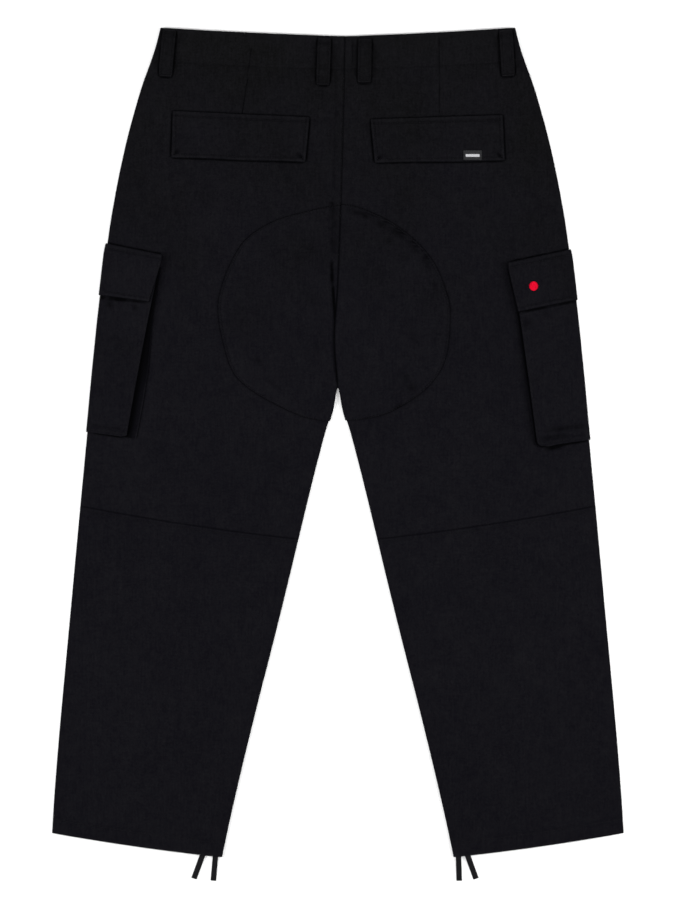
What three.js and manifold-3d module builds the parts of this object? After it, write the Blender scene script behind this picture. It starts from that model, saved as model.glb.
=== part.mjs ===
// Cargo pants laid out flat with the back facing up. Millimetres, +Z up.
// The waist points to +Y, the wearer's left is at -X, and the front rests on z = 0.
import * as THREE from 'three';
import { mergeVertices } from 'three/addons/utils/BufferGeometryUtils.js';
import Module from 'manifold-3d';

const wasm = await Module();
wasm.setup();

// Cloth
const CLOTH = 1.4; // wall of one ply
const GAP = 0.3; // between pieces at a seam, and between plies
const PLY = CLOTH + GAP; // what one more ply adds to the stack
const SLACK = 0.4; // air between back and front where they lie on each other
const EDGE_HEIGHT = 5.6; // height of a rolled side seam
const ROLL = (EDGE_HEIGHT - GAP) / 2; // outer radius of a rolled side seam
const ROLL_WIDTH = 40; // how far the roll's swell reaches into a leg
const MIDDLE_HEIGHT = 2 * CLOTH + SLACK;

// Outline of the garment. y is the height on the sheet, x the distance from its middle.
const OUTSEAM = [
  { y: 538.5, x: 230.5 },
  { y: 515.0, x: 236.5 },
  { y: 496.9, x: 242.4 },
  { y: 465.7, x: 253.7 },
  { y: 434.5, x: 263.3 },
  { y: 387.7, x: 275.7 },
  { y: 325.3, x: 288.9 },
  { y: 262.9, x: 298.8 },
  { y: 200.5, x: 306.4 },
  { y: 153.7, x: 311.8 },
  { y: 91.3, x: 318.3 },
  { y: 15.9, x: 325.4 },
  { y: -62.1, x: 333.0 },
  { y: -140.1, x: 340.3 },
  { y: -218.1, x: 347.5 },
  { y: -296.1, x: 354.8 },
  { y: -374.1, x: 361.9 },
  { y: -452.1, x: 368.2 },
  { y: -508.0, x: 371.7 },
];
const CROTCH_Y = 71.1;
const INSEAM = [
  { y: 71.1, x: 0.2 },
  { y: 65.3, x: 2.1 },
  { y: 54.9, x: 4.6 },
  { y: 35.4, x: 9.2 },
  { y: 15.9, x: 15.5 },
  { y: -23.1, x: 25.9 },
  { y: -62.1, x: 35.7 },
  { y: -101.1, x: 45.2 },
  { y: -179.1, x: 63.9 },
  { y: -257.1, x: 83.1 },
  { y: -335.1, x: 103.0 },
  { y: -413.1, x: 122.2 },
  { y: -491.1, x: 140.3 },
  { y: -539.5, x: 150.5 },
];
const CENTRE_SEAM = [
  { y: 527.3, x: 9.3 },
  { y: 464.4, x: 8.0 },
  { y: 275.9, x: 2.8 },
  { y: 197.9, x: -0.5 },
  { y: 132.9, x: -4.6 },
  { y: 71.1, x: 0.2 },
];

// Levels across a leg: y at the outseam, its height at the inner edge, and its sag between.
const WAIST_SEAM = 495.5;
const KNEE_SEAM = -83;
const LEVELS = [
  { y: 538.5, inner: 527.3, sag: 1 },
  { y: WAIST_SEAM, inner: 484.3, sag: 1 },
  { y: KNEE_SEAM, inner: -126, sag: 3 },
  { y: -508, inner: -539.5, sag: 2 },
];

// Rows of the cloth, as levels. The plies that lift it change only at rows.
const BAND_ROWS = [538.5, 517, WAIST_SEAM + GAP / 2];
const THIGH_ROWS = [
  WAIST_SEAM - GAP / 2, 470, 440, 405, 375, 345, 312, 287, 262, 235,
  205, 175, 150, 125, 104, 84, 60, 25, -10, -40, KNEE_SEAM + GAP / 2,
];
const SHIN_ROWS = [
  KNEE_SEAM - GAP / 2, -120, -165, -210, -255, -300, -345, -390, -430, -465, -490, -508,
];

// Columns of the cloth, from the outseam to the inner edge. roll is the share of the quarter
// turn of a rolled seam, at a distance from its edge, share a part of what lies between.
const ROLL_SHARES = [1, 0.66, 0.33, 0];
const OUTER_AT = [8, 20, 40, 64, 90];
const INNER_AT = [26, 10];
const outerRolls = ROLL_SHARES.map((roll) => ({ edge: 'outer', roll }));
const innerRolls = ROLL_SHARES.map((roll) => ({ edge: 'inner', roll })).reverse();
const LEG_COLUMNS = [
  ...outerRolls,
  ...OUTER_AT.map((at) => ({ edge: 'outer', at })),
  ...[0.25, 0.5, 0.75].map((share) => ({ share })),
  ...INNER_AT.map((at) => ({ edge: 'inner', at })),
  ...innerRolls,
];
const FRONT_COLUMNS = LEG_COLUMNS.filter((column) => ![64, 40].includes(column.at));

// Plies under the front that lift it off the surface, each with the levels where it sets in
// and ends. reach is the distance from the outseam, or from the middle, that it covers.
const LIFTS = [
  { name: 'waist trim', from: 'outseam', reach: 999, low: 440, full: 470, top: 999, end: 1000 },
  { name: 'fly', from: 'middle', reach: 80, low: 262, full: 287, top: 440, end: 470 },
  { name: 'cargo pocket', from: 'outseam', reach: 91, low: -40, full: -10, top: 287, end: 312 },
  { name: 'cargo flap', from: 'outseam', reach: 91, low: 125, full: 150, top: 287, end: 312 },
];
const MOST_PLIES = 2;

// Folds of the back, as ridges between two places.
const FOLDS = [
  { name: 'crotch fold', x0: -16, y0: 235, x1: -12, y1: 84, height: 2.6, width: 9 },
  { name: 'right crotch fold', x0: 20, y0: 150, x1: 18, y1: 40, height: 1.6, width: 13 },
  { name: 'left seat fold', x0: -40, y0: 120, x1: -150, y1: 60, height: 1.4, width: 26 },
  { name: 'right seat fold', x0: 48, y0: 110, x1: 160, y1: 50, height: 1.2, width: 26 },
  { name: 'left hip swell', x0: -90, y0: 290, x1: -130, y1: 150, height: 2.0, width: 42 },
  { name: 'right hip swell', x0: 95, y0: 290, x1: 125, y1: 140, height: 2.0, width: 42 },
  { name: 'left thigh fold', x0: -60, y0: 0, x1: -190, y1: -60, height: 1.6, width: 30 },
  { name: 'right thigh fold', x0: 80, y0: 10, x1: 210, y1: -70, height: 1.5, width: 30 },
  { name: 'left knee swell', x0: -150, y0: -150, x1: -260, y1: -190, height: 2.2, width: 44 },
  { name: 'right knee swell', x0: 150, y0: -160, x1: 270, y1: -180, height: 2.0, width: 44 },
  { name: 'left shin swell', x0: -190, y0: -270, x1: -230, y1: -440, height: 1.8, width: 46 },
  { name: 'right shin swell', x0: 200, y0: -290, x1: 250, y1: -430, height: 1.8, width: 46 },
];

// Waistband: two plies thick, a little proud of the back panels
const BAND_WALL = 2.4;
const BAND_PROUD = 0.5;

// Back pocket flaps, as corners from the upper outer one round
const FLAP_WALL = 2;
const FLAP_CORNER = 4;
const BACK_FLAPS = {
  L: [[-215, 431.2], [-36.2, 422.8], [-42, 363.6], [-216.9, 370]],
  R: [[214.7, 426], [41.8, 420.2], [47.7, 363], [217.3, 365.6]],
};
const LABEL = { x: 173.8, y: 373, width: 27, height: 13, wall: 1 };

// Seat patch: half widths of its rounded outline, at heights down the centre seam
const SEAT_PATCH = {
  L: [
    [2.5, 308.3], [-38, 300.3], [-81.7, 287.6], [-116, 267], [-133.7, 243.4], [-150.6, 204.4],
    [-155.8, 171.9], [-146.7, 119.9], [-133.7, 87.4], [-110, 66], [-71.3, 44.5],
    [-40.1, 32.1], [-8, 26.5],
  ],
  R: [
    [2.8, 309.7], [28.8, 304.5], [76.9, 281.1], [119.8, 240.8], [143.2, 188.8], [145.8, 158.9],
    [139.3, 106.9], [117.2, 71.8], [80.8, 45.8], [50, 33.5], [8, 27.5],
  ],
};

// Cargo pockets. reach is the distance of the rear edge from the outseam at the mouth and at
// the base, gusset the width of the pleat beyond it, stand how far the rear edge stands off.
const CARGO = {
  L: { mouth: 232, base: 13.3, baseRise: -0.13, top: 71, foot: 52.5, gusset: 14, stand: 8.4 },
  R: { mouth: 232, base: 3, baseRise: -0.14, top: 76, foot: 67, gusset: 6, stand: 8 },
};
const CARGO_CLOSE = 14; // length over which the pocket's bag closes at its base
const CARGO_TRIM = 1.5; // cut off the pocket's hem, so that its edge is clean
const CARGO_ROWS = [245, 205, 175, 150, 125, 100, 70, 45];
const CARGO_CORNER = 10; // cut off the pocket's lower rear corner
const BEYOND = 345; // past every outseam
const CARGO_FLAPS = {
  L: [[-330, 264.5], [-227.9, 243.4], [-246.8, 182.3], [-330, 194]],
  R: [[330, 257], [220.6, 233], [235.5, 169.3], [330, 189]],
};
const CARGO_FLAP_RISE = 20; // length over which the flap climbs onto the pocket
const CARGO_FLAP_ROWS = [205, 175, 150];

// Belt loops: centre of the upper and the lower end
const LOOP = { width: 18, wall: 1.6, tab: 5, slope: 7, bend: 2.8, lift: 1.2, clear: 4.6 };
const BACK_LOOPS = {
  belt_loop_side_L: [[-218.5, 537], [-224.2, 474.5]],
  belt_loop_centre_L: [[-17.4, 525.4], [-19.6, 463.5]],
  belt_loop_centre_R: [[35.3, 525.4], [34.3, 466]],
  belt_loop_side_R: [[217.7, 536], [221.4, 475]],
};
const FRONT_LOOP = { x: 118, top: 531, length: 60 };

// Fly and waist button, on the front. past is how far the fly's cut runs over the centre seam.
const FLY = { width: 42, top: 482, bottom: 322, round: 68, past: 12 };
const BUTTON = { fromSeam: 13, y: 507, radius: 8.5 };

// Drawstring ends: where each leaves its hem, and its direction from straight down
const CORD = { width: 7, thick: 2, inside: 14, length: 45, settle: 12, step: 5 };
const CORDS = {
  hem_cord_L_outer: { x: -176.6, y: -538.6, turn: -20 },
  hem_cord_L_inner: { x: -159.3, y: -539.6, turn: -5 },
  hem_cord_R_inner: { x: 156.9, y: -539.6, turn: 2 },
  hem_cord_R_outer: { x: 169.2, y: -538.8, turn: 20 },
};

const TALL = 40; // more than the height of the stack

const MATERIALS = {
  twill: new THREE.MeshStandardMaterial({ color: 0x15141a, roughness: 0.9, metalness: 0 }),
  label: new THREE.MeshStandardMaterial({ color: 0x0c0c0e, roughness: 0.7, metalness: 0 }),
  cord: new THREE.MeshStandardMaterial({ color: 0x131317, roughness: 0.85, metalness: 0 }),
  button: new THREE.MeshStandardMaterial({ color: 0x1c1c1f, roughness: 0.45, metalness: 0 }),
};

const lerp = THREE.MathUtils.lerp;
const smoothstep = THREE.MathUtils.smoothstep;

// Value of a table's column at a height, on a smooth curve through its rows.
function along(table, key, y) {
  const last = table.length - 1;
  const found = table.findIndex((row, i) => i > 0 && y >= row.y);
  const i = found < 0 ? last : found;
  const slope = (a, b) => (table[b][key] - table[a][key]) / (table[b].y - table[a].y);
  const tangent = (k) => slope(Math.max(k - 1, 0), Math.min(k + 1, last));
  const span = table[i].y - table[i - 1].y;
  const t = THREE.MathUtils.clamp((y - table[i - 1].y) / span, 0, 1);
  const rise = table[i][key] - table[i - 1][key];
  const a = tangent(i - 1) * span - rise;
  const b = rise - tangent(i) * span;
  return table[i - 1][key] + t * rise + t * (1 - t) * (a * (1 - t) + b * t);
}

function straightAlong(table, key, y) {
  const found = table.findIndex((row, i) => i > 0 && y >= row.y);
  const i = found < 0 ? table.length - 1 : found;
  const t = (y - table[i - 1].y) / (table[i].y - table[i - 1].y);
  return lerp(table[i - 1][key], table[i][key], t);
}

// Distance of a leg's inner edge from the middle: the centre seam, then the inseam.
function innerEdge(side, y) {
  const seam = y >= CROTCH_Y ? side * along(CENTRE_SEAM, 'x', y) : along(INSEAM, 'x', y);
  return seam + GAP / 2;
}

// How much of a quarter turn the inner edge is rolled: none above the crotch.
function inseamCurl(y) {
  return 1 - smoothstep(y, CROTCH_Y - 26, CROTCH_Y);
}

// Share of a lift that holds at a level, changing straight between its ends.
function held(lift, level) {
  const up = THREE.MathUtils.clamp((level - lift.low) / (lift.full - lift.low), 0, 1);
  const down = THREE.MathUtils.clamp((lift.end - level) / (lift.end - lift.top), 0, 1);
  return Math.min(up, down);
}

// How far the plies under the front lift the garment.
function lifted(level, fromOutseam, x) {
  const plies = LIFTS.reduce((sum, lift) => {
    const distance = lift.from === 'outseam' ? fromOutseam : Math.abs(x);
    return sum + (distance < lift.reach ? held(lift, level) : 0);
  }, 0);
  return Math.min(plies, MOST_PLIES) * PLY;
}

// Height of the back's folds at a place.
function folded(x, y) {
  return FOLDS.reduce((sum, fold) => {
    const run = new THREE.Vector2(fold.x1 - fold.x0, fold.y1 - fold.y0);
    const to = new THREE.Vector2(x - fold.x0, y - fold.y0);
    const share = THREE.MathUtils.clamp(to.dot(run) / run.lengthSq(), 0, 1);
    const off = to.distanceTo(run.clone().multiplyScalar(share)) / fold.width;
    return sum + fold.height * Math.exp(-off * off) * (0.6 + 0.4 * Math.sin(Math.PI * share));
  }, 0);
}

// A place on the cloth of one leg. face is 1 on the back and -1 on the front, which lies
// below, and move is how far the place is moved out of the cloth's outer face.
function clothPoint(side, level, column, face, move) {
  const yInner = straightAlong(LEVELS, 'inner', level);
  const sag = straightAlong(LEVELS, 'sag', level);
  const outer = along(OUTSEAM, 'x', level);
  const width = outer - innerEdge(side, yInner);
  const curl = column.edge === 'inner' ? inseamCurl(yInner) : 1;

  let fromEdge = typeof column.at === 'function' ? column.at(level) : column.at;
  let rest = fromEdge;
  let rise = move;
  if (column.roll !== undefined) {
    const angle = (column.roll * Math.PI) / 2;
    const round = ROLL + move;
    rest = ROLL * (1 - Math.sin(angle));
    fromEdge = lerp(rest, ROLL - round * Math.sin(angle), curl);
    rise = lerp(move, round * Math.cos(angle) - ROLL, curl);
  }
  const toOutseam = (distance) => {
    if (column.edge === 'outer') return distance;
    if (column.edge === 'inner') return width - distance;
    return lerp(OUTER_AT.at(-1), width - INNER_AT[0], column.share);
  };
  const fromOutseam = toOutseam(rest);
  const fromInseam = width - fromOutseam;
  const across = toOutseam(fromEdge);
  const share = across / width;
  const x = side * (outer - across);
  const y = lerp(level, yInner, share) - sag * 4 * share * (1 - share);

  const lift = lifted(level, fromOutseam, outer - fromOutseam);
  if (face < 0) return new THREE.Vector3(x, y, lift - rise);

  const swell = Math.max(
    1 - smoothstep(fromOutseam, ROLL, ROLL_WIDTH),
    inseamCurl(yInner) * (1 - smoothstep(fromInseam, ROLL, ROLL_WIDTH)),
    smoothstep(level, 400, 470),
    1 - smoothstep(level, -490, -440),
  );
  const flat = Math.min(
    smoothstep(fromOutseam, 20, 90),
    lerp(1, smoothstep(fromInseam, ROLL, 26), inseamCurl(yInner)),
    1 - smoothstep(level, 350, 430),
    smoothstep(level, -500, -440),
  );
  const body = lerp(MIDDLE_HEIGHT, EDGE_HEIGHT, swell) + flat * folded(x, y);
  return new THREE.Vector3(x, y, lift + body + rise);
}

// A closed wall between two faces of a grid: outside and inside are rows of points.
function wall(outside, inside) {
  const rows = outside.length;
  const columns = outside[0].length;
  const points = [...outside.flat(), ...inside.flat()];
  const at = (row, column, layer) => (layer * rows + row) * columns + column;
  const index = [];
  const quad = (a, b, c, d) => index.push(a, b, c, a, c, d);
  for (let r = 0; r < rows - 1; r++) {
    for (let c = 0; c < columns - 1; c++) {
      quad(at(r, c, 0), at(r + 1, c, 0), at(r + 1, c + 1, 0), at(r, c + 1, 0));
      quad(at(r, c, 1), at(r, c + 1, 1), at(r + 1, c + 1, 1), at(r + 1, c, 1));
    }
  }
  for (let r = 0; r < rows - 1; r++) {
    quad(at(r, 0, 0), at(r, 0, 1), at(r + 1, 0, 1), at(r + 1, 0, 0));
    const c = columns - 1;
    quad(at(r + 1, c, 0), at(r + 1, c, 1), at(r, c, 1), at(r, c, 0));
  }
  for (let c = 0; c < columns - 1; c++) {
    quad(at(0, c + 1, 0), at(0, c + 1, 1), at(0, c, 1), at(0, c, 0));
    const r = rows - 1;
    quad(at(r, c, 0), at(r, c, 1), at(r, c + 1, 1), at(r, c + 1, 0));
  }
  if (volume(points, index) < 0) index.reverse();
  const geometry = new THREE.BufferGeometry().setFromPoints(points);
  geometry.setIndex(index);
  return geometry;
}

function volume(points, index) {
  let sum = 0;
  for (let i = 0; i < index.length; i += 3) {
    const [a, b, c] = [points[index[i]], points[index[i + 1]], points[index[i + 2]]];
    sum += a.dot(b.clone().cross(c)) / 6;
  }
  return sum;
}

// A wall of one leg's cloth between two distances moved out, each a number or a function.
function legWall(side, rows, columns, face, from, to) {
  const layer = (move) => rows.map((level) => columns.map((column) => {
    const distance = typeof move === 'function' ? move(level, column) : move;
    return clothPoint(side, level, column, column.face ?? face, distance);
  }));
  return wall(layer(to), layer(from));
}

function solid(geometry) {
  const plain = geometry.clone();
  plain.deleteAttribute('normal');
  plain.deleteAttribute('uv');
  const merged = mergeVertices(plain, 1e-4);
  const mesh = new wasm.Mesh({
    numProp: 3,
    vertProperties: new Float32Array(merged.attributes.position.array),
    triVerts: new Uint32Array(merged.index.array),
  });
  return new wasm.Manifold(mesh);
}

function geometryOf(body) {
  const mesh = body.getMesh();
  const geometry = new THREE.BufferGeometry();
  geometry.setAttribute('position', new THREE.BufferAttribute(mesh.vertProperties, 3));
  geometry.setIndex(new THREE.BufferAttribute(mesh.triVerts, 1));
  return geometry;
}

// The part of a wall that lies inside an outline seen from above.
function cutTo(geometry, shape) {
  const tall = new THREE.ExtrudeGeometry(shape, {
    depth: 2 * TALL,
    bevelEnabled: false,
    curveSegments: 4,
  });
  tall.translate(0, 0, -TALL);
  return geometryOf(solid(geometry).intersect(solid(tall)));
}

// An outline through corners, each rounded.
function roundedShape(corners, radius) {
  const shape = new THREE.Shape();
  corners.forEach((corner, i) => {
    const here = new THREE.Vector2(...corner);
    const before = new THREE.Vector2(...corners.at(i - 1)).sub(here).setLength(radius).add(here);
    const next = corners[(i + 1) % corners.length];
    const after = new THREE.Vector2(...next).sub(here).setLength(radius).add(here);
    if (i === 0) shape.moveTo(before.x, before.y);
    else shape.lineTo(before.x, before.y);
    shape.quadraticCurveTo(here.x, here.y, after.x, after.y);
  });
  shape.closePath();
  return shape;
}

const pants = new THREE.Group();
pants.name = 'cargo_pants';

function add(name, geometry, material = MATERIALS.twill) {
  const mesh = new THREE.Mesh(geometry, material);
  mesh.name = name;
  pants.add(mesh);
  return mesh;
}

// Waistband, legs and front of one side.
function addPanels(side, tag) {
  const backBand = [BAND_PROUD - BAND_WALL, BAND_PROUD];
  add(`waistband_back_${tag}`, legWall(side, BAND_ROWS, FRONT_COLUMNS, 1, ...backBand));
  add(`waistband_front_${tag}`, legWall(side, BAND_ROWS, FRONT_COLUMNS, -1, -BAND_WALL, 0));
  add(`back_thigh_${tag}`, legWall(side, THIGH_ROWS, LEG_COLUMNS, 1, -CLOTH, 0));
  add(`back_shin_${tag}`, legWall(side, SHIN_ROWS, LEG_COLUMNS, 1, -CLOTH, 0));
  add(`front_thigh_${tag}`, legWall(side, THIGH_ROWS, FRONT_COLUMNS, -1, -CLOTH, 0));
  add(`front_shin_${tag}`, legWall(side, SHIN_ROWS, FRONT_COLUMNS, -1, -CLOTH, 0));
}

function addSeatPatch(side, tag) {
  const [first, ...others] = SEAT_PATCH[tag].map(([x, y]) => new THREE.Vector2(x, y));
  const shape = new THREE.Shape();
  shape.moveTo(first.x, first.y);
  shape.splineThru(others);
  shape.lineTo(-side * 30, 20);
  shape.lineTo(-side * 30, first.y);
  shape.closePath();
  const cloth = legWall(side, THIGH_ROWS, LEG_COLUMNS, 1, GAP, PLY);
  add(`seat_patch_${tag}`, cutTo(cloth, shape));
}

function addBackFlap(side, tag) {
  const cloth = legWall(side, THIGH_ROWS, LEG_COLUMNS, 1, GAP, GAP + FLAP_WALL);
  add(`back_flap_${tag}`, cutTo(cloth, roundedShape(BACK_FLAPS[tag], FLAP_CORNER)));
}

function addLabel() {
  const { x, y, width, height } = LABEL;
  const corners = [[0, 0], [width, 0], [width, height], [0, height]];
  const shape = roundedShape(corners.map(([a, b]) => [x - width / 2 + a, y - height / 2 + b]), 1);
  const under = FLAP_WALL + 2 * GAP;
  const cloth = legWall(1, THIGH_ROWS, LEG_COLUMNS, 1, under, under + LABEL.wall);
  add('flap_label', cutTo(cloth, shape), MATERIALS.label);
}

// Columns that run from the front round the outseam to the back. stand is the share of the
// pocket's standing height that a column has.
function wrapColumns(cargo) {
  const reach = (level) => {
    const down = (cargo.mouth - level) / (cargo.mouth - cargo.base);
    return lerp(cargo.top, cargo.foot, THREE.MathUtils.clamp(down, -0.2, 1));
  };
  const between = (share) => (level) => lerp(OUTER_AT[1], reach(level), share);
  const beyond = (share) => (level) => reach(level) + share * cargo.gusset;
  const front = OUTER_AT.toReversed().map((at) => ({ edge: 'outer', at, face: -1, stand: 0 }));
  const turned = (roll, face) => ({ edge: 'outer', roll, face, stand: 0 });
  const under = ROLL_SHARES.slice(1).reverse().map((roll) => turned(roll, -1));
  const over = ROLL_SHARES.map((roll) => turned(roll, 1));
  const rear = [
    { at: OUTER_AT[0], stand: 0.12 },
    { at: OUTER_AT[1], stand: 0.52 },
    { at: between(0.45), stand: 0.92 },
    { at: between(1), stand: 1 },
    { at: beyond(0.45), stand: 0.55 },
    { at: beyond(1), stand: 0 },
  ].map((column) => ({ edge: 'outer', face: 1, ...column }));
  return [...front, ...under, ...over, ...rear];
}

// Distance of the pocket's inner face from the leg: its bag closes towards the base.
function bagStand(cargo, level, column) {
  const open = smoothstep(level, cargo.base, cargo.base + CARGO_CLOSE);
  return GAP + cargo.stand * column.stand * open;
}

function addCargoPocket(side, tag) {
  const cargo = CARGO[tag];
  const closing = [CARGO_CLOSE, CARGO_CLOSE / 2, -CARGO_CLOSE / 2];
  const rows = [...CARGO_ROWS, ...closing.map((up) => cargo.base + up)];
  const inner = (level, column) => bagStand(cargo, level, column);
  const outer = (level, column) => bagStand(cargo, level, column) + CLOTH;
  const cloth = legWall(side, rows, wrapColumns(cargo), 1, inner, outer);
  const edge = (level) => along(OUTSEAM, 'x', level);
  const into = edge(cargo.base) - cargo.foot - cargo.gusset + CARGO_TRIM;
  const upper = edge(cargo.mouth) - cargo.top - cargo.gusset - CARGO_TRIM;
  const baseAt = (x) => cargo.base + cargo.baseRise * (edge(cargo.base) - x);
  const shape = roundedShape([
    [side * BEYOND, cargo.mouth + 4],
    [side * upper, cargo.mouth - 6],
    [side * into, baseAt(into) + CARGO_CORNER],
    [side * (into + CARGO_CORNER), baseAt(into + CARGO_CORNER)],
    [side * BEYOND, baseAt(BEYOND)],
  ], FLAP_CORNER);
  add(`cargo_pocket_${tag}`, cutTo(cloth, shape));
}

function addCargoFlap(side, tag) {
  const cargo = CARGO[tag];
  const top = CARGO_FLAPS[tag][0][1];
  const climb = [-CARGO_FLAP_RISE / 2, CARGO_FLAP_RISE / 2, CARGO_FLAP_RISE];
  const rows = [...climb.map((down) => top - down), ...CARGO_FLAP_ROWS];
  const stand = (level, column) => {
    const climbed = smoothstep(level, top - CARGO_FLAP_RISE, top + 4);
    return lerp(bagStand(cargo, level, column) + PLY, GAP, climbed);
  };
  const outer = (level, column) => stand(level, column) + CLOTH;
  const cloth = legWall(side, rows, wrapColumns(cargo), 1, stand, outer);
  add(`cargo_flap_${tag}`, cutTo(cloth, roundedShape(CARGO_FLAPS[tag], FLAP_CORNER)));
}

// A belt loop that bridges the waistband, from its upper to its lower end.
function addBackLoop(name, [upper, lower]) {
  const band = PLY + EDGE_HEIGHT + BAND_PROUD;
  const length = Math.hypot(upper[0] - lower[0], upper[1] - lower[1]);
  const bridge = band + LOOP.clear;
  const path = [
    [0, band + GAP],
    [LOOP.tab, band + GAP],
    [LOOP.tab + LOOP.bend, band + GAP + LOOP.lift],
    [LOOP.tab + LOOP.slope, bridge],
    [length - LOOP.tab - LOOP.slope, bridge],
    [length - LOOP.tab - LOOP.bend, band - BAND_PROUD + GAP + LOOP.lift],
    [length - LOOP.tab, band - BAND_PROUD + GAP],
    [length, band - BAND_PROUD + GAP],
  ];
  const down = new THREE.Vector2(lower[0] - upper[0], lower[1] - upper[1]).normalize();
  const layer = (extra) => path.map(([run, z]) => [-1, 0, 1].map((share) => new THREE.Vector3(
    upper[0] + down.x * run - down.y * (share * LOOP.width) / 2,
    upper[1] + down.y * run + down.x * (share * LOOP.width) / 2,
    z + extra,
  )));
  add(name, wall(layer(LOOP.wall), layer(0)));
}

// A flat strip along the front, pressed against the waistband.
function addFrontLoop(side, tag) {
  const { x, top, length } = FRONT_LOOP;
  const half = LOOP.width / 2;
  const foot = top - length;
  const corners = [[x - half, top], [x + half, top], [x + half, foot], [x - half, foot]];
  const shape = roundedShape(corners.map(([a, b]) => [side * a, b]), 1);
  const cloth = legWall(side, [...BAND_ROWS, ...THIGH_ROWS], FRONT_COLUMNS, -1, GAP, PLY);
  add(`belt_loop_front_${tag}`, cutTo(cloth, shape));
}

function addFly() {
  const { width, top, bottom, round, past } = FLY;
  const shape = new THREE.Shape();
  shape.moveTo(past, top);
  shape.lineTo(past, bottom);
  shape.quadraticCurveTo(-width, bottom, -width, bottom + round);
  shape.lineTo(-width, top);
  shape.closePath();
  const cloth = legWall(-1, THIGH_ROWS, FRONT_COLUMNS, -1, GAP, PLY);
  add('fly_placket', cutTo(cloth, shape));
}

function addButton() {
  const disc = new THREE.CylinderGeometry(BUTTON.radius, BUTTON.radius, CLOTH, 24);
  disc.rotateX(Math.PI / 2);
  const seam = along(CENTRE_SEAM, 'x', BUTTON.y);
  const button = add('waist_button', disc, MATERIALS.button);
  button.position.set(seam - BUTTON.fromSeam, BUTTON.y, CLOTH / 2);
}

// A flat cord that leaves its hem, sinks to the surface and ends free.
function addCord(name, { x, y, turn }) {
  const { width, thick, inside, length, settle } = CORD;
  const w = width / 2;
  const t = thick / 2;
  const section = new THREE.Shape([
    [w, t * 0.4], [w * 0.8, t], [-w * 0.8, t], [-w, t * 0.4],
    [-w, -t * 0.4], [-w * 0.8, -t], [w * 0.8, -t], [w, -t * 0.4],
  ].map(([a, b]) => new THREE.Vector2(b, a)));
  const middle = EDGE_HEIGHT / 2;
  const route = [
    [inside, middle], [inside / 2, middle], [0, middle], [-settle / 3, middle - 0.3],
    [-settle, t + 0.25], [-settle * 1.6, t + 0.05], [inside - length, t + 0.05],
  ];
  const path = new THREE.CatmullRomCurve3(route.map(([run, z]) => new THREE.Vector3(0, run, z)));
  const steps = Math.ceil(length / CORD.step);
  const tape = new THREE.ExtrudeGeometry(section, { steps, extrudePath: path });
  const cord = add(name, tape, MATERIALS.cord);
  cord.position.set(x, y, 0);
  cord.rotation.z = THREE.MathUtils.degToRad(turn);
}

for (const [side, tag] of [[-1, 'L'], [1, 'R']]) {
  addPanels(side, tag);
  addSeatPatch(side, tag);
  addBackFlap(side, tag);
  addCargoPocket(side, tag);
  addCargoFlap(side, tag);
  addFrontLoop(side, tag);
}
addLabel();
addFly();
addButton();
for (const [name, ends] of Object.entries(BACK_LOOPS)) addBackLoop(name, ends);
for (const [name, place] of Object.entries(CORDS)) addCord(name, place);

export default pants;
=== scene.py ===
# Dresses the cargo pants: soft twill, seams, stitches, drawstring ends, and a studio.
# Shapes are worked out in millimetres in the frame's axes, and turned into metres at the mesh.
import math

import bpy
import numpy as np
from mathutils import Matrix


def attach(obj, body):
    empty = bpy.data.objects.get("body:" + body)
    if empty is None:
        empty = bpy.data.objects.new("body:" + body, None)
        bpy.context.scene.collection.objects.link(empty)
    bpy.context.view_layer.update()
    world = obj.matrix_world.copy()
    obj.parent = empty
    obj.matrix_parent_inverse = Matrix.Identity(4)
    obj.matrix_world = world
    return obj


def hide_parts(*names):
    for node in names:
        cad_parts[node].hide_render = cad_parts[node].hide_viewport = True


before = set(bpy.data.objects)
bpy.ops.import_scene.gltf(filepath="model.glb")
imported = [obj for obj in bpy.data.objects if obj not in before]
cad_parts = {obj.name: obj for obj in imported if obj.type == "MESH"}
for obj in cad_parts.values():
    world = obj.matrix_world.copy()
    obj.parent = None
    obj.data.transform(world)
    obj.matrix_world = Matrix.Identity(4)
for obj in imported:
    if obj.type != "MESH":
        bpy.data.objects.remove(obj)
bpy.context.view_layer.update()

MM = 0.001
BODY = "root"
SIDES = [(-1, "L"), (1, "R")]
UP = np.array([0.0, 0.0, 1.0])

# Cloth: walls, gaps between layers, and how high the garment lies
CLOTH = 1.4
GAP = 0.3
PLY = CLOTH + GAP
SLACK = 0.4
SEWN = 0.04  # left between two panels along their seam
EDGE_HEIGHT = 5.6
ROLL = (EDGE_HEIGHT - GAP) / 2
ROLL_WIDTH = 40
MIDDLE_HEIGHT = 2 * CLOTH + SLACK
BAND_WALL = 2.4
BAND_PROUD = 0.5
BAND_SHOWN = 0.06  # how proud the band's back is where it shows
BAND_WORN = 0.14  # how much lighter the band is than the panels
FLAP_WALL = 1.8
FLAP_CORNER = 1.6

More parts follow.
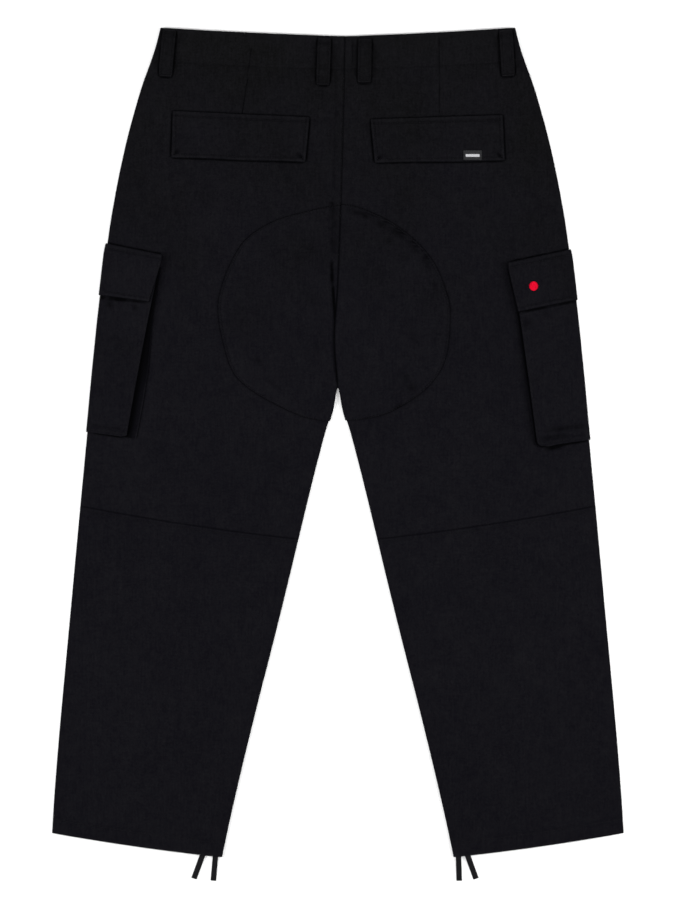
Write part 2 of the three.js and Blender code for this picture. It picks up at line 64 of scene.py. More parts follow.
# Outline of the garment, as (height, distance from the middle)
OUTSEAM = [
    (538.5, 230.5), (515.0, 236.5), (496.9, 242.4), (465.7, 253.7), (434.5, 263.3),
    (387.7, 275.7), (325.3, 288.9), (262.9, 298.8), (200.5, 306.4), (153.7, 311.8),
    (91.3, 318.3), (15.9, 325.4), (-62.1, 333.0), (-140.1, 340.3), (-218.1, 347.5),
    (-296.1, 354.8), (-374.1, 361.9), (-452.1, 368.2), (-508.0, 371.7),
]
CROTCH_Y = 71.1
INSEAM = [
    (71.1, 0.2), (65.3, 2.1), (54.9, 4.6), (35.4, 9.2), (15.9, 15.5), (-23.1, 25.9),
    (-62.1, 35.7), (-101.1, 45.2), (-179.1, 63.9), (-257.1, 83.1), (-335.1, 103.0),
    (-413.1, 122.2), (-491.1, 140.3), (-539.5, 150.5),
]
CENTRE_SEAM = [
    (527.3, 9.3), (464.4, 8.0), (275.9, 2.8), (197.9, -0.5), (132.9, -4.6), (71.1, 0.2),
]
CENTRE_START = CROTCH_Y - 4  # height at which the centre seam's relief sets in
CENTRE_FULL = CROTCH_Y + 14

# Levels across a leg, as (height at the outseam, height at the inner edge, sag between)
WAIST_TOP = 538.5
WAIST_SEAM = 495.5
KNEE_SEAM = -83.0
HEM = -508.0
HEM_TURN = 20
LEVELS = np.array([(HEM, -539.5, 2), (KNEE_SEAM, -126, 3), (WAIST_SEAM, 484.3, 1),
                   (WAIST_TOP, 527.3, 1)], float)

# Plies under the front that lift the garment, as
# (from the outseam, reach, level where it sets in, where it is full, its top, its end)
LIFTS = [
    (True, 999, 440, 470, 999, 1000),
    (False, 80, 262, 287, 440, 470),
    (True, 91, -40, -10, 287, 312),
    (True, 91, 125, 150, 287, 312),
]
LIFT_EASE = 26
MOST_PLIES = 2

# Folds of the back, as ridges (x0, y0, x1, y1, height, width)
FOLDS = [
    (-16, 235, -12, 84, 2.6, 9),
    (20, 150, 18, 40, 1.6, 13),
    (-40, 120, -150, 60, 1.4, 26),
    (48, 110, 160, 50, 1.2, 26),
    (-90, 290, -130, 150, 2.0, 42),
    (95, 290, 125, 140, 2.0, 42),
    (-60, 0, -190, -60, 1.6, 30),
    (80, 10, 210, -70, 1.5, 30),
    (-150, -150, -260, -190, 2.2, 44),
    (150, -160, 270, -180, 2.0, 44),
    (-190, -270, -230, -440, 1.8, 46),
    (200, -290, 250, -430, 1.8, 46),
]

# Creases, as (x0, y0, x1, y1, bow, depth, width)
CREASES = [
    (-12, 236, -8, 160, 3, 1.3, 3.2),
    (-30, 118, -74, 92, 4, 0.8, 5.0),
    (-24, 98, -58, 62, -4, 0.7, 4.4),
    (26, 104, 66, 84, 4, 0.8, 5.0),
    (30, 86, 78, 52, -3, 0.6, 4.6),
    (-186, 330, -150, 300, 3, 0.7, 6.0),
    (-196, 352, -238, 300, 4, 0.8, 6.5),
    (196, 350, 240, 296, -4, 0.8, 6.5),
    (178, 334, 152, 300, -3, 0.7, 6.0),
    (-60, 352, -34, 318, -3, 0.8, 5.0),
    (62, 350, 40, 322, 3, 0.8, 5.0),
    (-180, 210, -214, 150, 5, 0.8, 8.0),
    (176, 214, 208, 148, -5, 0.8, 8.0),
    (-64, -14, -150, -40, 6, 0.8, 7.0),
    (-92, -46, -190, -70, -6, 0.7, 8.0),
    (-220, -20, -300, -60, 6, 0.8, 8.0),
    (78, -20, 168, -52, -6, 0.8, 7.0),
    (110, -60, 214, -68, 5, 0.7, 8.0),
    (226, -24, 300, -66, -6, 0.8, 8.0),
    (-96, -150, -180, -138, 5, 0.8, 8.0),
    (-120, -186, -230, -200, -7, 0.8, 9.0),
    (-236, -130, -318, -150, 5, 0.7, 8.0),
    (104, -158, 190, -150, -5, 0.8, 8.0),
    (140, -206, 244, -196, 6, 0.8, 9.0),
    (248, -128, 326, -158, -5, 0.7, 8.0),
    (-150, -262, -196, -336, 6, 0.7, 9.0),
    (-262, -250, -296, -340, -6, 0.7, 10.0),
    (-206, -372, -250, -440, 5, 0.7, 9.0),
    (156, -270, 196, -352, -6, 0.7, 9.0),
    (270, -262, 302, -350, 6, 0.7, 10.0),
    (214, -384, 252, -452, -5, 0.7, 9.0),
    (-176, -452, -236, -484, 4, 0.6, 7.0),
    (182, -456, 250, -480, -4, 0.6, 7.0),
    (-70, 462, -88, 440, 2, 0.5, 4.0),
    (74, 464, 92, 440, -2, 0.5, 4.0),
]
WAVE_COUNT = 14
WAVE_HEIGHT = 0.16
SLACK_LIFT = 0.75  # how far the slack cloth lies up, so that its hollows stay clear

# Back darts, as (x0, y0, x1, y1)
DARTS = [(-112.3, 512, -124.6, 428), (131.5, 525, 132.1, 428)]

# Back pocket flaps, as corners, and the label on the right one
BACK_FLAPS = {
    "L": [(-215, 431.2), (-36.2, 422.8), (-42, 363.6), (-216.9, 370)],
    "R": [(214.7, 426), (41.8, 420.2), (47.7, 363), (217.3, 365.6)],
}
LABEL = {"x": 175.1, "y": 373, "width": 24.4, "height": 13, "wall": 0.8}

# Seat patch: distance of its outline from the middle, at heights
SEAT_PATCH = {
    "L": [
        (308.3, -2.5), (300.3, 38), (287.6, 81.7), (267, 116), (243.4, 133.7), (204.4, 150.6),
        (171.9, 155.8), (119.9, 146.7), (87.4, 133.7), (66, 110), (44.5, 71.3), (32.1, 40.1),
        (26.5, 8),
    ],
    "R": [
        (309.7, 2.8), (304.5, 28.8), (281.1, 76.9), (240.8, 119.8), (188.8, 143.2),
        (158.9, 145.8), (106.9, 139.3), (71.8, 117.2), (45.8, 80.8), (33.5, 50), (27.5, 8),
    ],
}
PATCH_MIDDLE = 170
PATCH_RADIUS = 150

# Cargo pockets: heights of the mouth and the base, slope of the base, reach from the outseam at
# the top and the foot, and how wide the gusset is and how high the pocket stands
CARGO = {
    "L": {"mouth": 232, "base": 13.3, "rise": -0.13, "top": 69.6, "foot": 50.6, "gusset": 14,
          "stand": 8.4},
    "R": {"mouth": 232, "base": 3, "rise": -0.14, "top": 76, "foot": 67, "gusset": 6,
          "stand": 8},
}
CARGO_CLOSE = 14  # how far above the base a pocket stands open in full
# Width of the gusset's strip that shows, as (shares of the way down, widths)
GUSSETS = {
    "L": ([0, 0.2, 0.33, 0.45, 0.6, 0.8, 1], [3.4, 5.2, 6.8, 9.4, 12.8, 13.4, 13]),
    "R": ([0, 0.3, 1], [2.4, 3.2, 3.8]),
}
POCKET_CORNERS = {"L": 1.5, "R": 9}
CARGO_FLAPS = {
    "L": [(330, 264.5), (227.9, 243.4), (246.8, 182.3), (330, 194)],
    "R": [(330, 257), (220.6, 233), (235.5, 169.3), (330, 189)],
}
CARGO_FLAP_RISE = 20

# Belt loops, the back ones as their upper and lower ends, and the fly and its button
LOOP = {"width": 18, "wall": 1.6, "tab": 5, "slope": 7, "bend": 2.8, "lift": 1.2, "clear": 4.6}
BACK_LOOPS = {
    "belt_loop_side_L": [(-218.5, 537), (-224.2, 474.5)],
    "belt_loop_centre_L": [(-17.4, 525.4), (-19.6, 463.5)],
    "belt_loop_centre_R": [(35.3, 525.4), (34.3, 466)],
    "belt_loop_side_R": [(217.7, 536), (221.4, 475)],
}
FRONT_LOOP = {"x": 118, "top": 531, "length": 60}
FLY = {"width": 42, "top": 482, "bottom": 322, "round": 68}
BUTTON = {"from_seam": 13, "y": 507, "radius": 8.5}

# Drawstring ends, as where each leaves its hem and how far it turns, in degrees
CORD = {"width": 7, "thick": 2, "inside": 14, "length": 45, "settle": 12}
CORDS = {
    "hem_cord_L_outer": (-176.6, -538.6, -20),
    "hem_cord_L_inner": (-159.3, -539.6, -5),
    "hem_cord_R_inner": (156.9, -539.6, 2),
    "hem_cord_R_outer": (169.2, -538.8, 20),
}

# Embroidered dot on the right cargo flap
DOT = {"x": 253.7, "y": 202.2, "radius": 6, "pitch": 0.62, "thread": 0.42}

# Painted shade drawn as dark lines in the cloth's colour, in folds, pressed edges, darts and
# puckers, and as shadows under and beside raised edges: x0, y0, x1, y1, width, darkness
PAINTED_SHADE_LINES = {
    "back L": [
        (-112.3, 514, -116.8, 480, 1.6, 0.6), (-117, 474, -124.6, 426, 1.5, 0.8),
        (-14, 312, -1, 309, 4, 0.7), (-229, 244, -231, 232, 3, 1.0),
        (-318, 12.2, -276, 6.2, 3.2, 0.9), (-240, 200, -252, 110, 6, 0.5),
        (-252, 120, -266, 60, 10, 0.6), (-264, 70, -286, 6, 9, 0.5),
        (-46, 402, -60, 394, 5, 0.3),
    ],
    "back R": [
        (131.5, 527, 132.1, 426, 1.5, 0.65), (19, 527, 19.6, 490, 2, 0.5),
        (1, 308, 16, 304, 5, 0.5), (235, 174, 259.5, 0, 3.2, 0.9),
        (264, -10, 298, -2.5, 6, 1.3), (282, -4.5, 328, 3.6, 4, 1.3),
        (46, 288, 90, 264, 8, 0.25), (90, 264, 116, 236, 7, 0.25),
    ],
    "pocket L": [
        (-334, 191.5, -270, 183.5, 5, 1.1), (-292, 186.4, -245, 180.4, 3, 0.9),
        (-302, 186, -290, 170, 7, 0.6), (-267, 182, -259, 168, 6, 0.45),
        (-316, 184, -309, 174, 7, 0.4), (-324, 23, -278, 17, 3, 0.2),
    ],
    "pocket R": [
        (230, 166.8, 338, 189.2, 3.2, 0.9), (262, 13.5, 326, 22.5, 6, 0.55),
        (254, 4.5, 304, 10, 5, 0.5), (240, 164, 252, 142, 12, 0.45),
        (266, 176, 272, 158, 8, 0.2), (250, 92, 262, 70, 12, 0.2),
    ],
    "patch L": [
        (-5.5, 318, -4, 236, 10, 0.5), (-7.8, 240, -7.2, 203, 4, 1.0),
        (-6.4, 206, -3.4, 156, 3.0, 1.0), (-3.6, 172, -0.4, 66, 1.7, 0.9),
        (-62, 246, -40, 238, 9, 0.3), (-40, 262, -26, 236, 14, 0.25),
        (-52, 194, -16, 178, 20, 0.22), (-96, 98, -112, 116, 7, 0.35),
        (-96, 84, -70, 66, 5, 0.3),
    ],
    "patch R": [
        (70, 36, 88, 52, 7, 0.8), (86, 66, 106, 76, 10, 0.45), (80, 80, 96, 90, 10, 0.4),
        (12, 305, 46, 289, 6, 0.7), (40, 292, 70, 275, 8, 0.55), (64, 281, 92, 262, 8, 0.6),
        (86, 267, 112, 240, 9, 0.55), (106, 250, 126, 214, 8, 0.45),
        (121, 222, 132, 186, 7, 0.35), (58, 268, 74, 256, 8, 0.4), (82, 248, 94, 232, 9, 0.35),
        (8, 296, 10, 252, 12, 0.2), (96, 150, 104, 118, 10, 0.25),
    ],
}

# Stitches, and how far their rows lie from an edge or a seam
STITCH_PITCH = 3.2
STITCH_LENGTH = 2.5
STITCH_RADIUS = 0.26
TOP_STITCH = 2.6
BAND_STITCH = 2.3
KNEE_STITCH = 4.9
HEM_STITCH = 18.4

# Steps of the grids, and distances from an edge at which they are finer
BACK_STEP = 3.0
FRONT_STEP = 7.0
FINE_STEP = 2.5
EDGE_LEAD = [0, 0.5, 1.2, 2.2, 3.4, 4.8, 6.6]
TRIM_LEAD = [0, 0.25, 0.6, 1.1, 1.8, 2.6, 3.6, 5.0]

# Camera and floor, in metres, with the lens and its sensor in millimetres
VIEW_CENTRE = (-0.000455, -0.01014)
VIEW_HEIGHT = 4.005
LENS = 123.08
SENSOR = 36
FLOOR_HALF = 6
FLOOR_HEIGHT = -0.0006


# Curves and shares

def smooth(value, low, high):
    share = np.clip((value - low) / (high - low), 0.0, 1.0)
    return share * share * (3 - 2 * share)


def lerp(a, b, share):
    return a + (b - a) * share


def unit(vectors):
    return vectors / np.maximum(np.linalg.norm(vectors, axis=-1, keepdims=True), 1e-9)


def hump(distance, width):
    return np.exp(-((distance / width) ** 2))


def along(table, height):
    """Value at a height, on a smooth curve through a table's rows."""
    y, x = np.array(table, float).T
    height = np.asarray(height, float)
    i = np.clip(np.searchsorted(-y, -height), 1, len(y) - 1)
    ends = np.diff(x) / np.diff(y)
    inner = (x[2:] - x[:-2]) / (y[2:] - y[:-2])
    tangent = np.concatenate([ends[:1], inner, ends[-1:]])
    span = y[i] - y[i - 1]
    share = np.clip((height - y[i - 1]) / span, 0, 1)
    rise = x[i] - x[i - 1]
    a = tangent[i - 1] * span - rise
    b = rise - tangent[i] * span
    return x[i - 1] + share * rise + share * (1 - share) * (a * (1 - share) + b * share)


def graded(low, high, step, lead, tail):
    """Positions from low to high, finer at the ends."""
    start = [low + distance for distance in lead]
    end = [high - distance for distance in reversed(tail)]
    count = max(1, round((end[0] - start[-1]) / step))
    middle = np.linspace(start[-1], end[0], count + 1)[1:-1]
    return np.array([*start, *middle, *end])


def spline(points, count):
    """Points evenly spread on a smooth curve through the given ones."""
    points = np.array(points, float)
    padded = np.vstack([2 * points[0] - points[1], points, 2 * points[-1] - points[-2]])
    fine = []
    for a, b, c, d in zip(padded, padded[1:], padded[2:], padded[3:]):
        t = np.linspace(0, 1, 24, endpoint=False)[:, None]
        fine.append(0.5 * (2 * b + (c - a) * t + (2 * a - 5 * b + 4 * c - d) * t ** 2
                           + (3 * b - a - 3 * c + d) * t ** 3))
    fine = np.vstack([*fine, points[-1:]])
    return resampled(fine, count)


def resampled(points, count):
    run = np.concatenate([[0], np.cumsum(np.linalg.norm(np.diff(points, axis=0), axis=1))])
    at = np.linspace(0, run[-1], count)
    return np.stack([np.interp(at, run, points[:, k]) for k in range(points.shape[1])], -1)


# The garment's form

def inner_edge(side, y):
    seam = np.where(y >= CROTCH_Y, side * along(CENTRE_SEAM, y), along(INSEAM, y))
    return seam + SEWN / 2


def on_centre_seam(y):
    return smooth(y, CENTRE_START, CENTRE_FULL)


def curl_at(y):
    """How far the inner edge rolls round: not at all above the crotch."""
    return 1 - smooth(y, CROTCH_Y - 26, CROTCH_Y)


def leg_at(side, level):
    """Height at the inner edge, sag, distance of the outseam and width, at a level."""
    y_inner = np.interp(level, LEVELS[:, 0], LEVELS[:, 1])
    sag = np.interp(level, LEVELS[:, 0], LEVELS[:, 2])
    outer = along(OUTSEAM, level)
    return y_inner, sag, outer, outer - inner_edge(side, y_inner)


def height_at(level, y_inner, sag, share):
    return lerp(level, y_inner, share) - sag * 4 * share * (1 - share)


def level_at(side, x, y):
    """Height at the outseam of the level that runs through a place."""
    level = y + 0.0
    for _ in range(14):
        y_inner, sag, outer, width = leg_at(side, level)
        level = level + y - height_at(level, y_inner, sag, (outer - side * x) / width)
    return level


def lifted(level, from_outseam, x):
    """How far the plies underneath lift the garment."""
    plies = 0
    for outseam, reach, low, full, top, end in LIFTS:
        up = np.clip((level - low) / (full - low), 0, 1)
        down = np.clip((end - level) / (end - top), 0, 1)
        distance = from_outseam if outseam else np.abs(x)
        plies = plies + np.minimum(up, down) * (1 - smooth(distance, reach - 2, reach + LIFT_EASE))
    return np.minimum(plies, MOST_PLIES) * PLY


def to_line(x, y, x0, y0, x1, y1):
    """Share along a line and distance to its left."""
    dx, dy = x1 - x0, y1 - y0
    run = math.hypot(dx, dy)
    share = ((x - x0) * dx + (y - y0) * dy) / run ** 2
    return share, ((y - y0) * dx - (x - x0) * dy) / run


def folded(x, y):
    total = 0
    for x0, y0, x1, y1, height, width in FOLDS:
        share, off = to_line(x, y, x0, y0, x1, y1)
        kept = np.clip(share, 0, 1)
        past = (share - kept) * math.hypot(x1 - x0, y1 - y0)
        far = np.hypot(off, past)
        total = total + height * hump(far, width) * (0.6 + 0.4 * np.sin(np.pi * kept))
    return total


def creased(x, y):
    total = 0
    for x0, y0, x1, y1, bow, depth, width in CREASES:
        share, off = to_line(x, y, x0, y0, x1, y1)
        off = off - bow * 4 * share * (1 - share)
        fade = smooth(share, -0.15, 0.3) * (1 - smooth(share, 0.7, 1.15))
        trough = hump(off, width)
        ridges = 0.6 * hump(off - 1.8 * width, 1.4 * width)
        ridges = ridges + 0.4 * hump(off + 2.1 * width, 1.7 * width)
        total = total + fade * depth * (ridges - 0.8 * trough)
    return total


def wavy(x, y):
    """Low, slow undulation of cloth that lies slack."""
    rng = np.random.default_rng(11)
    total = 0
    for _ in range(WAVE_COUNT):
        turn, phase = rng.uniform(0, 2 * np.pi, 2)
        length = rng.uniform(55, 150)
        run = (x * math.cos(turn) + y * math.sin(turn)) * 2 * np.pi / length
        total = total + WAVE_HEIGHT * np.sin(run + phase)
    return total


def darts(x, y):
    """Relief of the back darts: a groove between two ridges."""
    total = 0
    for x0, y0, x1, y1 in DARTS:
        share, off = to_line(x, y, x0, y0, x1, y1)
        fade = smooth(share, -0.02, 0.03) * (1 - smooth(share, 0.9, 1.05))
        ridge = 0.4 * hump(off - 5, 3.4) + 0.3 * hump(off + 5.5, 4)
        total = total + fade * (ridge - 0.5 * hump(off, 2.6))
    return total


def puckered(run, distance, pitch, height, reach, seed):
    """Small puckers along a seam. run is how far along it, distance how far from it."""
    phase = 2 * np.pi * run / pitch + 1.9 * np.sin(run / 23 + seed) + seed
    uneven = 0.45 + 0.55 * np.sin(run / 37 + 2 * seed) ** 2
    return height * uneven * np.sin(phase) * hump(distance - reach / 2, reach / 2)


def seamed(side, x, y, level, from_inner):
    """Relief beside the seams of the back, and its tone there, which paints shade in the seam
    grooves and beside the seat's fold and lightens the worn hem edge: first the centre seam, then
    the knee, the hem and the waist."""
    on_centre = on_centre_seam(y)
    low = 1 - smooth(y, 150, 236)
    relief = -(0.35 + 0.8 * low) * on_centre * hump(from_inner, 1.3 + 0.5 * low)
    tone = -(0.55 + 0.25 * low) * on_centre * hump(from_inner, 1.1)
    if side < 0:
        fold = lerp(10.2, 1.6, 1 - smooth(y, 150, 246))
        strip = smooth(from_inner, 0.3, 1.6) * (1 - smooth(from_inner, fold - 1.4, fold + 0.2))
        relief = relief + 0.7 * on_centre * strip
        near_fold = 0.3 + 0.75 * (1 - smooth(y, 190, 250)) + 0.25 * np.sin(y / 9) * np.sin(y / 23)
        relief = relief - 0.5 * near_fold * on_centre * hump(from_inner - fold - 0.4, 1.6)
        tone = tone - 0.3 * near_fold * on_centre * hump(from_inner - fold, 1.5)
    relief = relief + on_centre * puckered(y, from_inner, 13, 0.22, 14, 0.4 + side)

    below = KNEE_SEAM - level
    strip = smooth(below, 0.2, 1.4) * (1 - smooth(below, 5.4, 6.8))
    relief = relief + 0.4 * strip - 0.3 * hump(below, 1.2)
    relief = relief + puckered(x, below, 11, 0.24, 12, 2.2 + side)
    relief = relief + puckered(x, -below, 12, 0.2, 10, 5.2 + side)
    tone = tone - 0.42 * hump(below, 1.0) - 0.1 * hump(below - 4.2, 0.8)

    above = level - HEM
    relief = relief + 0.3 * (1 - smooth(above, 19.6, 21.4))
    relief = relief + puckered(x, above - HEM_TURN, 10, 0.22, -12, 1.1 + side)
    tone = tone - 0.08 * hump(above - 21, 1.0) + 0.3 * hump(above - 1, 1.5)

    under_waist = WAIST_SEAM - level
    relief = relief - 0.12 * hump(under_waist, 1.6)
    relief = relief + puckered(x, under_waist, 12, 0.2, 10, 3.3 + side)
    tone = tone - 0.08 * hump(under_waist, 1.6)
    return relief, tone


def back_face(side, level, across, x, y):
    """Height of the back's outer face, and its tone."""
    y_inner, _, outer, width = leg_at(side, level)
    from_inner = width - across
    curl = curl_at(y_inner)
    swell = np.maximum.reduce(np.broadcast_arrays(
        1 - smooth(across, ROLL, ROLL_WIDTH),
        curl * (1 - smooth(from_inner, ROLL, ROLL_WIDTH)),
        smooth(level, *RISE_TO_WAIST),
        1 - smooth(level, *RISE_TO_HEM),
    ))
    flat = np.minimum.reduce(np.broadcast_arrays(
        smooth(across, *FOLDS_FROM_OUTSEAM),
        lerp(1, smooth(from_inner, *FOLDS_FROM_INSEAM), curl),
        1 - smooth(level, *FOLDS_TO_WAIST),
        smooth(level, *FOLDS_TO_HEM),
    ))
    off_edge = smooth(across, ROLL, 24) * lerp(1, smooth(from_inner, ROLL, 16), curl)
    relief, tone = seamed(side, x, y, level, from_inner)
    soft = SLACK_LIFT + creased(x, y) + wavy(x, y)
    height = lifted(level, across, outer - across) + lerp(MIDDLE_HEIGHT, EDGE_HEIGHT, swell)
    height = height + flat * folded(x, y) + off_edge * (soft * lerp(0.45, 1, flat) + darts(x, y))
    kept = smooth(across, 1.5, 8) * lerp(1, smooth(from_inner, 1.5, 7), curl)
    return height + kept * relief, tone


def front_face(side, level, across):
    """Height of the front's outer face, which lies below, with its seams pressed in."""
    y_inner, _, outer, width = leg_at(side, level)
    relief = 0.4 * on_centre_seam(y_inner) * hump(width - across, 1.3)
    relief = relief + 0.4 * hump(KNEE_SEAM - level, 1.2) + 0.35 * hump(level - HEM - 20.6, 0.9)
    relief = relief + 0.35 * hump(WAIST_SEAM - level, 1.2)
    inside = smooth(across, 1.5, 8) * smooth(width - across, 0.5, 3)
    return lifted(level, across, outer - across) + inside * relief


ROLL_STEPS = 8
OUTER_ROLLS = [("outer roll", roll) for roll in np.linspace(1, 0, ROLL_STEPS)]
INNER_ROLLS = [("inner roll", roll) for roll in np.linspace(0, 1, ROLL_STEPS)]
# Levels and distances between which the back's height and its folds come and go
RISE_TO_WAIST = (400, 470)
RISE_TO_HEM = (-490, -440)
FOLDS_TO_WAIST = (350, 430)
FOLDS_TO_HEM = (-500, -440)
FOLDS_FROM_OUTSEAM = (20, 90)
FOLDS_FROM_INSEAM = (ROLL, 26)
OUTER_LAST = 90  # how far from the outseam the columns keep their distance to it
INNER_LAST = 26


def leg_columns(step):
    """Columns from the outseam to the inner edge."""
    near = graded(ROLL, OUTER_LAST, step, [0.9, 2.4, 4.4], [0])
    far = graded(ROLL, INNER_LAST, step, [0.7, 1.6, 2.8, 4.2, 5.8, 7.6], [0])[::-1]
    between = np.linspace(0, 1, round(150 / step) + 1)[1:-1]
    return [
        *OUTER_ROLLS,
        *[("outer", at) for at in near],
        *[("share", share) for share in between],
        *[("inner", at) for at in far],
        *INNER_ROLLS,
    ]


def spread(side, level, columns, move):
    """Where the columns are across a leg, where they would be on a flat cloth, and how far
    they rise, at the levels, on a cloth that lies this far out of the outer face."""
    y_inner, _, _, width = leg_at(side, level)
    curl = curl_at(y_inner)
    sets = []
    for kind, value in columns:
        rise = np.full_like(level, move)
        if kind.endswith("roll"):
            angle = value * np.pi / 2
            bend = 1 if kind.startswith("outer") else curl
            rest = np.full_like(level, ROLL * (1 - math.sin(angle)))
            across = lerp(rest, ROLL - (ROLL + move) * math.sin(angle), bend)
            rise = lerp(move, (ROLL + move) * math.cos(angle) - ROLL, bend)
        elif kind == "share":
            rest = across = lerp(OUTER_LAST, width - INNER_LAST, value)
        else:
            rest = across = np.full_like(level, value)
        if kind.startswith("inner"):
            rest, across = width - rest, width - across
        sets.append((across, rest, rise + 0 * level))
    return [np.stack(values, -1) for values in zip(*sets)]


def cloth(side, level, across, rest, rise, face):
    """Places on one leg's cloth, and the tone of the back's."""
    y_inner, sag, outer, width = leg_at(side, level)
    x = side * (outer - across)
    y = height_at(level, y_inner, sag, across / width)
    if face == "front":
        z = front_face(side, level, rest) - rise
        tone = np.zeros_like(z)
    else:
        z, tone = back_face(side, level, rest, side * (outer - rest), y)
        z = z + rise
    return np.stack(np.broadcast_arrays(x, y, z), -1), np.broadcast_to(tone, x.shape)


def leg_sheet(side, levels, columns, face, low, high):
    """Outside, inside and tone of a leg's cloth. low and high are how far its two faces lie
    out of the outer face."""
    faces = []
    for move in (high, low):
        across, rest, rise = spread(side, levels, columns, move)
        faces.append(cloth(side, levels[:, None], across, rest, rise, face))
    (outside, tone), (inside, _) = faces
    return outside, inside, tone


# Meshes

collection = bpy.context.scene.collection


def mesh_object(name, points, faces, material, tone=None, sharp=50):
    mesh = bpy.data.meshes.new(name)
    mesh.from_pydata((np.asarray(points) * MM).tolist(), [], [list(map(int, f)) for f in faces])
    mesh.validate()
    # Tone, kept as an attribute: on the cloth it lightens worn places above zero and paints shade
    # below zero; on the label it marks the pale stripe.
    if tone is not None:
        layer = mesh.attributes.new("tone", "FLOAT", "POINT")
        layer.data.foreach_set("value", np.asarray(tone, np.float32).ravel())
    mesh.polygons.foreach_set("use_smooth", [True] * len(mesh.polygons))
    mesh.set_sharp_from_angle(angle=math.radians(sharp))
    mesh.materials.append(material)
    piece = bpy.data.objects.new(name, mesh)
    collection.objects.link(piece)
    return piece


def shell_faces(points, rows, columns):
    """Faces of a closed wall between two grids, the first of them outside."""
    index = np.arange(rows * columns).reshape(rows, columns)
    half = rows * columns
    corners = [index[:-1, :-1], index[1:, :-1], index[1:, 1:], index[:-1, 1:]]
    top = np.stack(corners, -1).reshape(-1, 4)
    under = top[:, [0, 3, 2, 1]] + half
    ring = np.concatenate([index[:, 0], index[-1, 1:], index[-2::-1, -1], index[0, -2:0:-1]])
    after = np.roll(ring, -1)
    rim = np.stack([after, ring, ring + half, after + half], -1)
    faces = np.concatenate([top, under, rim])
    a, b, c, d = (points[faces[:, k]] for k in range(4))
    volume = np.sum(a * np.cross(b, c)) + np.sum(a * np.cross(c, d))
    return faces if volume > 0 else faces[:, ::-1]


def shell(name, outside, inside, material, tone=None):
    rows, columns = outside.shape[:2]
    points = np.concatenate([outside.reshape(-1, 3), inside.reshape(-1, 3)])
    if tone is None:
        tone = np.zeros((rows, columns))
    tones = np.concatenate([np.ravel(tone), np.ravel(tone)])
    return mesh_object(name, points, shell_faces(points, rows, columns), material, tones)


def outward(grid, row, column, way=UP):
    """Normals of a grid, turned so that the one at a row and column points the given way."""
    normals = unit(np.cross(np.gradient(grid, axis=0), np.gradient(grid, axis=1)))
    return normals if np.dot(normals[row, column], way) > 0 else -normals


def tube_faces(rings, sides):
    """Faces of a closed tube, whose points go round it ring by ring."""
    faces = []
    for ring in range(rings - 1):
        for k in range(sides):
            a, b = ring * sides + k, ring * sides + (k + 1) % sides
            faces.append([a, b, b + sides, a + sides])
    last = (rings - 1) * sides
    return [*faces, list(range(sides))[::-1], [last + k for k in range(sides)]]


def finish(piece, nodes):
    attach(piece, BODY)
    if nodes:
        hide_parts(*nodes)


def dress(node, outside, inside, material, tone=None):
    """Puts a closed shell of cloth in a node's place."""
    finish(shell(f"cloth_{node}", outside, inside, material, tone), [node])


# Stitches, gathered by group and turned into one mesh each

threads = {}


def stitch_mesh(start, stop, normals, length, radius):
    """A short thread that dives into the cloth at both ends, at each of the places."""
    sides = 5
    rings = [(-0.5, 0.35, -0.8), (-0.3, 0.95, 0.1), (0.3, 0.95, 0.1), (0.5, 0.35, -0.8)]
    run = unit(stop - start)
    middle = (start + stop) / 2
    over = unit(np.cross(run, normals))
    verts = []
    for at, size, sink in rings:
        for k in range(sides):
            angle = 2 * np.pi * k / sides
            verts.append(middle + run * at * length
                         + over * (radius * size * math.cos(angle))
                         + normals * (radius * (size * math.sin(angle) + sink)))
    return np.stack(verts, 1), tube_faces(len(rings), sides)


def sew(group, points, normals=None, pitch=STITCH_PITCH, length=STITCH_LENGTH,
        radius=STITCH_RADIUS, lift=0.1, down=False):
    """A row of stitches along points on a face."""
    points = np.asarray(points, float)
    if normals is None:
        normals = np.tile([0.0, 0.0, -1.0 if down else 1.0], (len(points), 1))
    run = np.concatenate([[0], np.cumsum(np.linalg.norm(np.diff(points, axis=0), axis=1))])
    count = int(run[-1] / pitch)
    if count < 1:
        return
    middle = (np.arange(count) + 0.5) * run[-1] / count

    def at(distance, values):
        return np.stack([np.interp(distance, run, values[:, k]) for k in range(3)], -1)

    start, stop = at(middle - length / 2, points), at(middle + length / 2, points)
    normal = unit(at(middle, normals))
    threads.setdefault(group, []).append(
        (start + normal * lift, stop + normal * lift, normal, length, radius))


def sew_on(group, sheet, *rows, **how):
    """Rows of stitches on a sheet, which is given as its points and normals."""
    points, normals = sheet
    for row in rows:
        sew(group, points[row], normals[row], **how)


def weave_threads(material):
    for group, rows in threads.items():
        points, all_faces, count = [], [], 0
        for row in rows:
            verts, faces = stitch_mesh(*row)
            stitches, each = verts.shape[:2]
            for base in range(count, count + stitches * each, each):
                all_faces.extend([[base + i for i in face] for face in faces])
            points.append(verts.reshape(-1, 3))
            count += stitches * each
        piece = mesh_object(f"thread_{group}", np.concatenate(points), all_faces, material,
                            sharp=80)
        finish(piece, [])


# Materials

